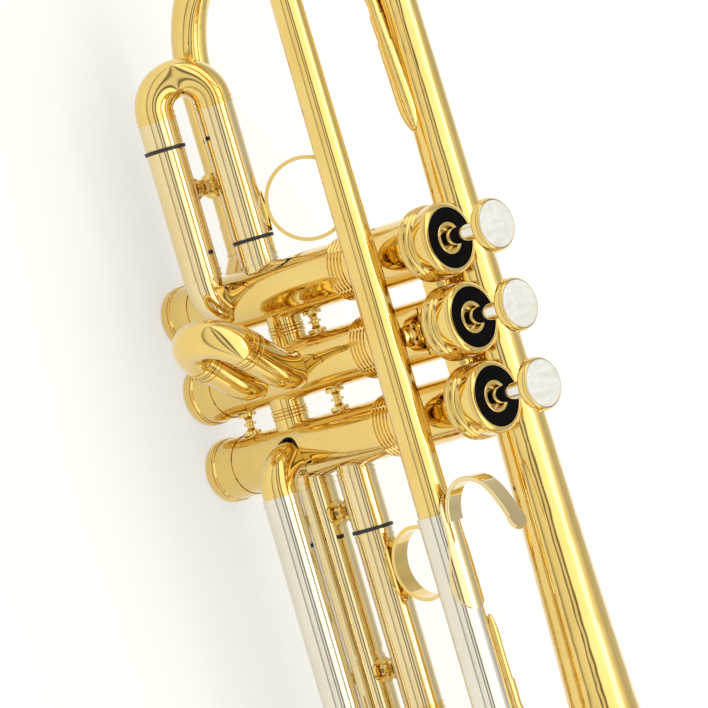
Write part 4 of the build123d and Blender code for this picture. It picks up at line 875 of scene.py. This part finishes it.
@dataclass
class Mouthpiece:
    """The mouthpiece, turned with a rounded rim, a smooth cup and a slim waist."""

    rim: float = 13.6 * MM
    cup: float = 8.2 * MM
    length: float = 87.0 * MM
    insert: float = 24.0 * MM
    shank: float = 4.8 * MM
    shank_end: float = 4.2 * MM
    throat: float = 1.9 * MM
    outer_steps: int = 4
    bore_steps: int = 3
    facets: int = 128

    def outline(self) -> Outline:
        """Half of the mouthpiece's section, from its rim to its small end and back through the bore."""
        rim, end = self.rim, self.shank_end
        outer = [(rim - 4.0 * MM, 0.25 * MM), (rim - 2.4 * MM, 0.02 * MM), (rim - 1.1 * MM, 0.45 * MM),
                 (rim - 0.25 * MM, 1.5 * MM), (rim, 2.8 * MM), (rim - 0.3 * MM, 4.4 * MM),
                 (rim - 1.5 * MM, 6.6 * MM), (rim - 2.3 * MM, 9.6 * MM), (rim - 2.8 * MM, 13.6 * MM),
                 (rim - 4.4 * MM, 19.0 * MM), (rim - 7.6 * MM, 23.6 * MM), (5.1 * MM, 26.2 * MM),
                 (5.0 * MM, 27.2 * MM), (5.55 * MM, 28.0 * MM), (4.9 * MM, 29.2 * MM), (4.2 * MM, 32.5 * MM),
                 (4.0 * MM, 38.0 * MM), (4.25 * MM, 48.0 * MM), (4.6 * MM, 56.0 * MM)]
        straight = [(self.shank, self.length - self.insert), (end, self.length - 0.2 * MM),
                    (end - 0.2 * MM, self.length), (end - 0.6 * MM, self.length)]
        bore = [(self.throat, 29.5 * MM), (self.throat, 14.5 * MM), (2.6 * MM, 12.8 * MM),
                (4.6 * MM, 11.0 * MM), (6.4 * MM, 8.2 * MM), (7.5 * MM, 4.8 * MM), (self.cup, 1.6 * MM),
                (self.cup + 0.8 * MM, 0.6 * MM)]
        return rounded_line(outer, self.outer_steps) + straight + rounded_line(bore, self.bore_steps)

    def build(self, rack: FinishRack) -> bpy.types.Object:
        """Turns the mouthpiece about the leadpipe's axis."""
        low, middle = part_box("mouthpiece")[0], middle_of("mouthpiece")
        mesh = bmesh.new()
        turned(mesh, self.outline(), Vector((0.0, 0.0, 0.0)), self.facets)
        lay = Matrix(((0.0, 0.0, 1.0), (0.0, 1.0, 0.0), (-1.0, 0.0, 0.0))).to_4x4()
        place = Matrix.Translation((low.x, middle.y, middle.z))
        bmesh.ops.transform(mesh, matrix=place @ lay, verts=mesh.verts)
        piece = finish_piece(mesh, "turned_mouthpiece", smooth_deg=42.0)
        rack.dress(piece, "silver_plate")
        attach(piece, "mouthpiece")
        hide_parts("mouthpiece")
        return piece


def rounded_line(corners: Outline, steps: int) -> Outline:
    """Draws a smooth line through an outline's corners.

    Args:
        corners: the points that the line passes through.
        steps: the line's steps from one corner to the next.

    Returns:
        The corners with the new points between them.
    """
    last = len(corners) - 1
    line = []
    for number in range(last):
        reach = (max(number - 1, 0), number, number + 1, min(number + 2, last))
        radii, heights = zip(*(corners[n] for n in reach))
        for step in range(steps):
            line.append((between(radii, step / steps), between(heights, step / steps)))
    return line + [corners[-1]]


def between(values: tuple[float, float, float, float], share: float) -> float:
    """Reads a smooth curve through four values, a share of the way from the second to the third."""
    before, start, end, after = values
    slope = end - before
    bend = 2 * before - 5 * start + 4 * end - after
    twist = 3 * (start - end) + after - before
    return start + 0.5 * share * (slope + share * (bend + share * twist))


def nap(mesh: bmesh.types.BMesh, height: float, depth: float) -> None:
    """Sinks a flat top face by uneven amounts, as teased felt lies.

    Args:
        mesh: the bmesh to work on.
        height: the face's height.
        depth: the most that a point sinks.
    """
    for vert in mesh.verts:
        if abs(vert.co.z - height) < SAME_LEVEL:
            wave = sum(math.sin(vert.co.x * along + first) * math.sin(vert.co.y * across + second)
                       for along, first, across, second in NAP_WAVES)
            vert.co.z -= depth * (0.5 + 0.25 * wave)


def slot_of(node: str) -> str:
    """The record's material slot of a CAD node."""
    parts = frame["record"]["subparts"]
    return next(part["material_slot"] for part in parts if part["node"] == node)


# ---------------------------------------------------------------- carried-over parts
@dataclass(frozen=True)
class CadDress:
    """Which finish each carried-over CAD node takes."""

    by_slot: tuple[tuple[str, str], ...] = (
        ("lacquered_brass", "brass_tube"),
        ("gold_brass", "satin_brass"),
        ("pale_brass", "pale_brass"),
        ("nickel_silver", "nickel_silver"),
        ("stem_steel", "stem_steel"),
        ("monel", "lapped_monel"),
        ("pearl", "pearl"),
        ("black_felt", "black_felt"),
        ("rubber", "black_rubber"),
        ("spring_steel", "spring_steel"),
        ("cork", "natural_cork"),
        ("silver_plate", "silver_plate"),
        ("guide_plastic", "white_nylon"),
    )
    by_node: tuple[tuple[str, str], ...] = (
        ("valve_casing_1", "brass_casing"),
        ("valve_casing_2", "brass_casing"),
        ("valve_casing_3", "brass_casing"),
        ("bell", "brass_bell"),
    )

    def apply(self, rack: FinishRack) -> int:
        """Dresses every CAD node that still shows.

        Args:
            rack: the finishes.

        Returns:
            How many nodes were dressed.
        """
        slots, nodes = dict(self.by_slot), dict(self.by_node)
        count = 0
        for name, piece in sorted(frame["nodes"].items()):
            if piece.hide_render:
                continue
            rack.dress(piece, nodes.get(name, slots[slot_of(name)]))
            count += 1
        return count


# ---------------------------------------------------------------- studio
@dataclass
class Studio:
    """A pale floor, a white tent with two narrow seams, a soft overhead light and the camera."""

    floor_reach: float = 30.0
    floor_facets: int = 96
    floor_light: Colour = (0.41, 0.405, 0.39)
    floor_deep: Colour = (0.39, 0.385, 0.37)
    floor_glow: float = 0.56
    tent_strength: float = 1.6
    tent_levels: tuple[tuple[float, float], ...] = (
        (0.0, 0.30), (0.03, 0.30), (0.06, 0.60), (0.19, 0.68), (0.205, 0.15), (0.225, 0.15),
        (0.24, 0.60), (0.275, 0.60), (0.29, 0.13), (0.315, 0.13), (0.335, 0.92), (0.45, 1.0),
        (0.61, 0.97), (0.69, 0.52), (0.78, 0.36), (0.92, 0.42), (1.0, 0.45),
    )
    lamp_place: Vector = field(default_factory=lambda: Vector((0.1, 0.3, 1.5)))
    lamp_size: tuple[float, float] = (1.6, 0.5)
    lamp_watts: float = 4.0
    camera_elevation: float = 44.0
    roll: tuple[float, float] = (0.281, 0.960)
    aim: Vector = field(default_factory=lambda: Vector((0.0007, 0.0, 0.0068)))
    distance: float = 2.3
    view_width: float = 0.236
    sensor: float = 36.0

    def build_floor(self) -> None:
        """Lays a wide pale floor under the lowest point of the trumpet."""
        mesh = bmesh.new()
        bmesh.ops.create_circle(mesh, cap_ends=True, segments=self.floor_facets, radius=self.floor_reach,
                                matrix=Matrix.Translation((0.0, 0.0, CAD_BOX[0].z)))
        floor = finish_piece(mesh, "studio_floor")
        material, bench, shader, place = new_material("studio_paper")
        tone = bench.group("mottle", Vector=place, Light=(*self.floor_light, 1.0),
                           Deep=(*self.floor_deep, 1.0), Scale=1.5, Contrast=0.5)
        bench.join(tone.outputs["Color"], shader.inputs["Base Color"])
        shader.inputs["Roughness"].default_value = 0.9
        shader.inputs["Emission Color"].default_value = (1.0, 0.995, 0.975, 1.0)
        shader.inputs["Emission Strength"].default_value = self.floor_glow
        floor.data.materials.append(material)

    def build_tent(self) -> None:
        """Lights the world as a white tent: bright overhead, with two narrow seams on the near side."""
        world = bpy.data.worlds.new("studio_tent")
        bpy.context.scene.world = world
        world.use_nodes = True
        world.node_tree.nodes.clear()
        bench = Bench(world.node_tree)
        way = bench.add("SeparateXYZ")
        bench.join(bench.add("TexCoord").outputs["Generated"], way.inputs[0])
        near = bench.times(way.outputs["Y"], -1.0)
        angle = bench.combine(way.outputs["Z"], near, "ARCTAN2")
        turn = bench.add("Math", {1: math.pi}, operation="DIVIDE")
        bench.join(angle, turn.inputs[0])
        ramp = bench.add("ValToRGB")
        bench.join(turn.outputs[0], ramp.inputs["Fac"])
        stops = ramp.color_ramp.elements
        while len(stops) < len(self.tent_levels):
            stops.new(0.5)
        for stop, (place, level) in zip(stops, self.tent_levels):
            stop.position = place
            stop.color = (level, level * 0.985, level * 0.95, 1.0)
        glow = bench.add("Background", {"Strength": self.tent_strength})
        bench.join(ramp.outputs["Color"], glow.inputs["Color"])
        plain = bench.add("Background", {"Color": (0.97, 0.965, 0.95, 1.0), "Strength": 1.0})
        which = bench.add("MixShader")
        bench.join(bench.add("LightPath").outputs["Is Camera Ray"], which.inputs[0])
        bench.join(glow.outputs[0], which.inputs[1])
        bench.join(plain.outputs[0], which.inputs[2])
        out = bench.add("OutputWorld")
        bench.join(which.outputs[0], out.inputs["Surface"])

    def build_lamp(self) -> None:
        """Hangs a soft box overhead that faces the trumpet."""
        light = bpy.data.lights.new("overhead_box", "AREA")
        light.shape = "RECTANGLE"
        light.size, light.size_y = self.lamp_size
        light.energy = self.lamp_watts
        light.color = (1.0, 0.985, 0.95)
        lamp = bpy.data.objects.new("overhead_box", light)
        bpy.context.scene.collection.objects.link(lamp)
        lamp.location = self.lamp_place
        lamp.rotation_mode = "QUATERNION"
        lamp.rotation_quaternion = (-self.lamp_place).to_track_quat("-Z", "Y")
        lamp.visible_camera = False

    def build_camera(self) -> None:
        """Sets the camera above the player's right side, rolled as the instrument lies."""
        tilt = math.radians(self.camera_elevation)
        back = Vector((0.0, -math.cos(tilt), math.sin(tilt)))
        rise = Vector((0.0, math.sin(tilt), math.cos(tilt)))
        forward = Vector((1.0, 0.0, 0.0))
        small, large = self.roll
        right = (small * forward + large * rise).normalized()
        up = (-large * forward + small * rise).normalized()
        lens = bpy.data.cameras.new("view")
        lens.sensor_width = self.sensor
        lens.lens = self.sensor * self.distance / self.view_width
        lens.clip_start, lens.clip_end = 0.1, 100.0
        camera = bpy.data.objects.new("view", lens)
        bpy.context.scene.collection.objects.link(camera)
        turn = Matrix((right, up, back)).transposed().to_4x4()
        camera.matrix_world = Matrix.Translation(self.aim + back * self.distance) @ turn
        bpy.context.scene.camera = camera

    def build(self) -> None:
        """Sets up the floor, the light and the camera."""
        self.build_floor()
        self.build_tent()
        self.build_lamp()
        self.build_camera()
        bpy.context.scene.view_settings.view_transform = "Standard"


def main() -> None:
    """Builds the pieces, dresses the frame and sets up the studio."""
    logging.basicConfig(level=logging.INFO, format="%(name)s: %(message)s")
    rack = FinishRack()
    pieces = [*ValveTops().build(rack), KeySpring().build(rack), Mouthpiece().build(rack)]
    for piece in pieces:
        log.info("built %s", piece.name)
    log.info("dressed %d CAD nodes", CadDress().apply(rack))
    Studio().build()


if __name__ == "__main__":
    main()
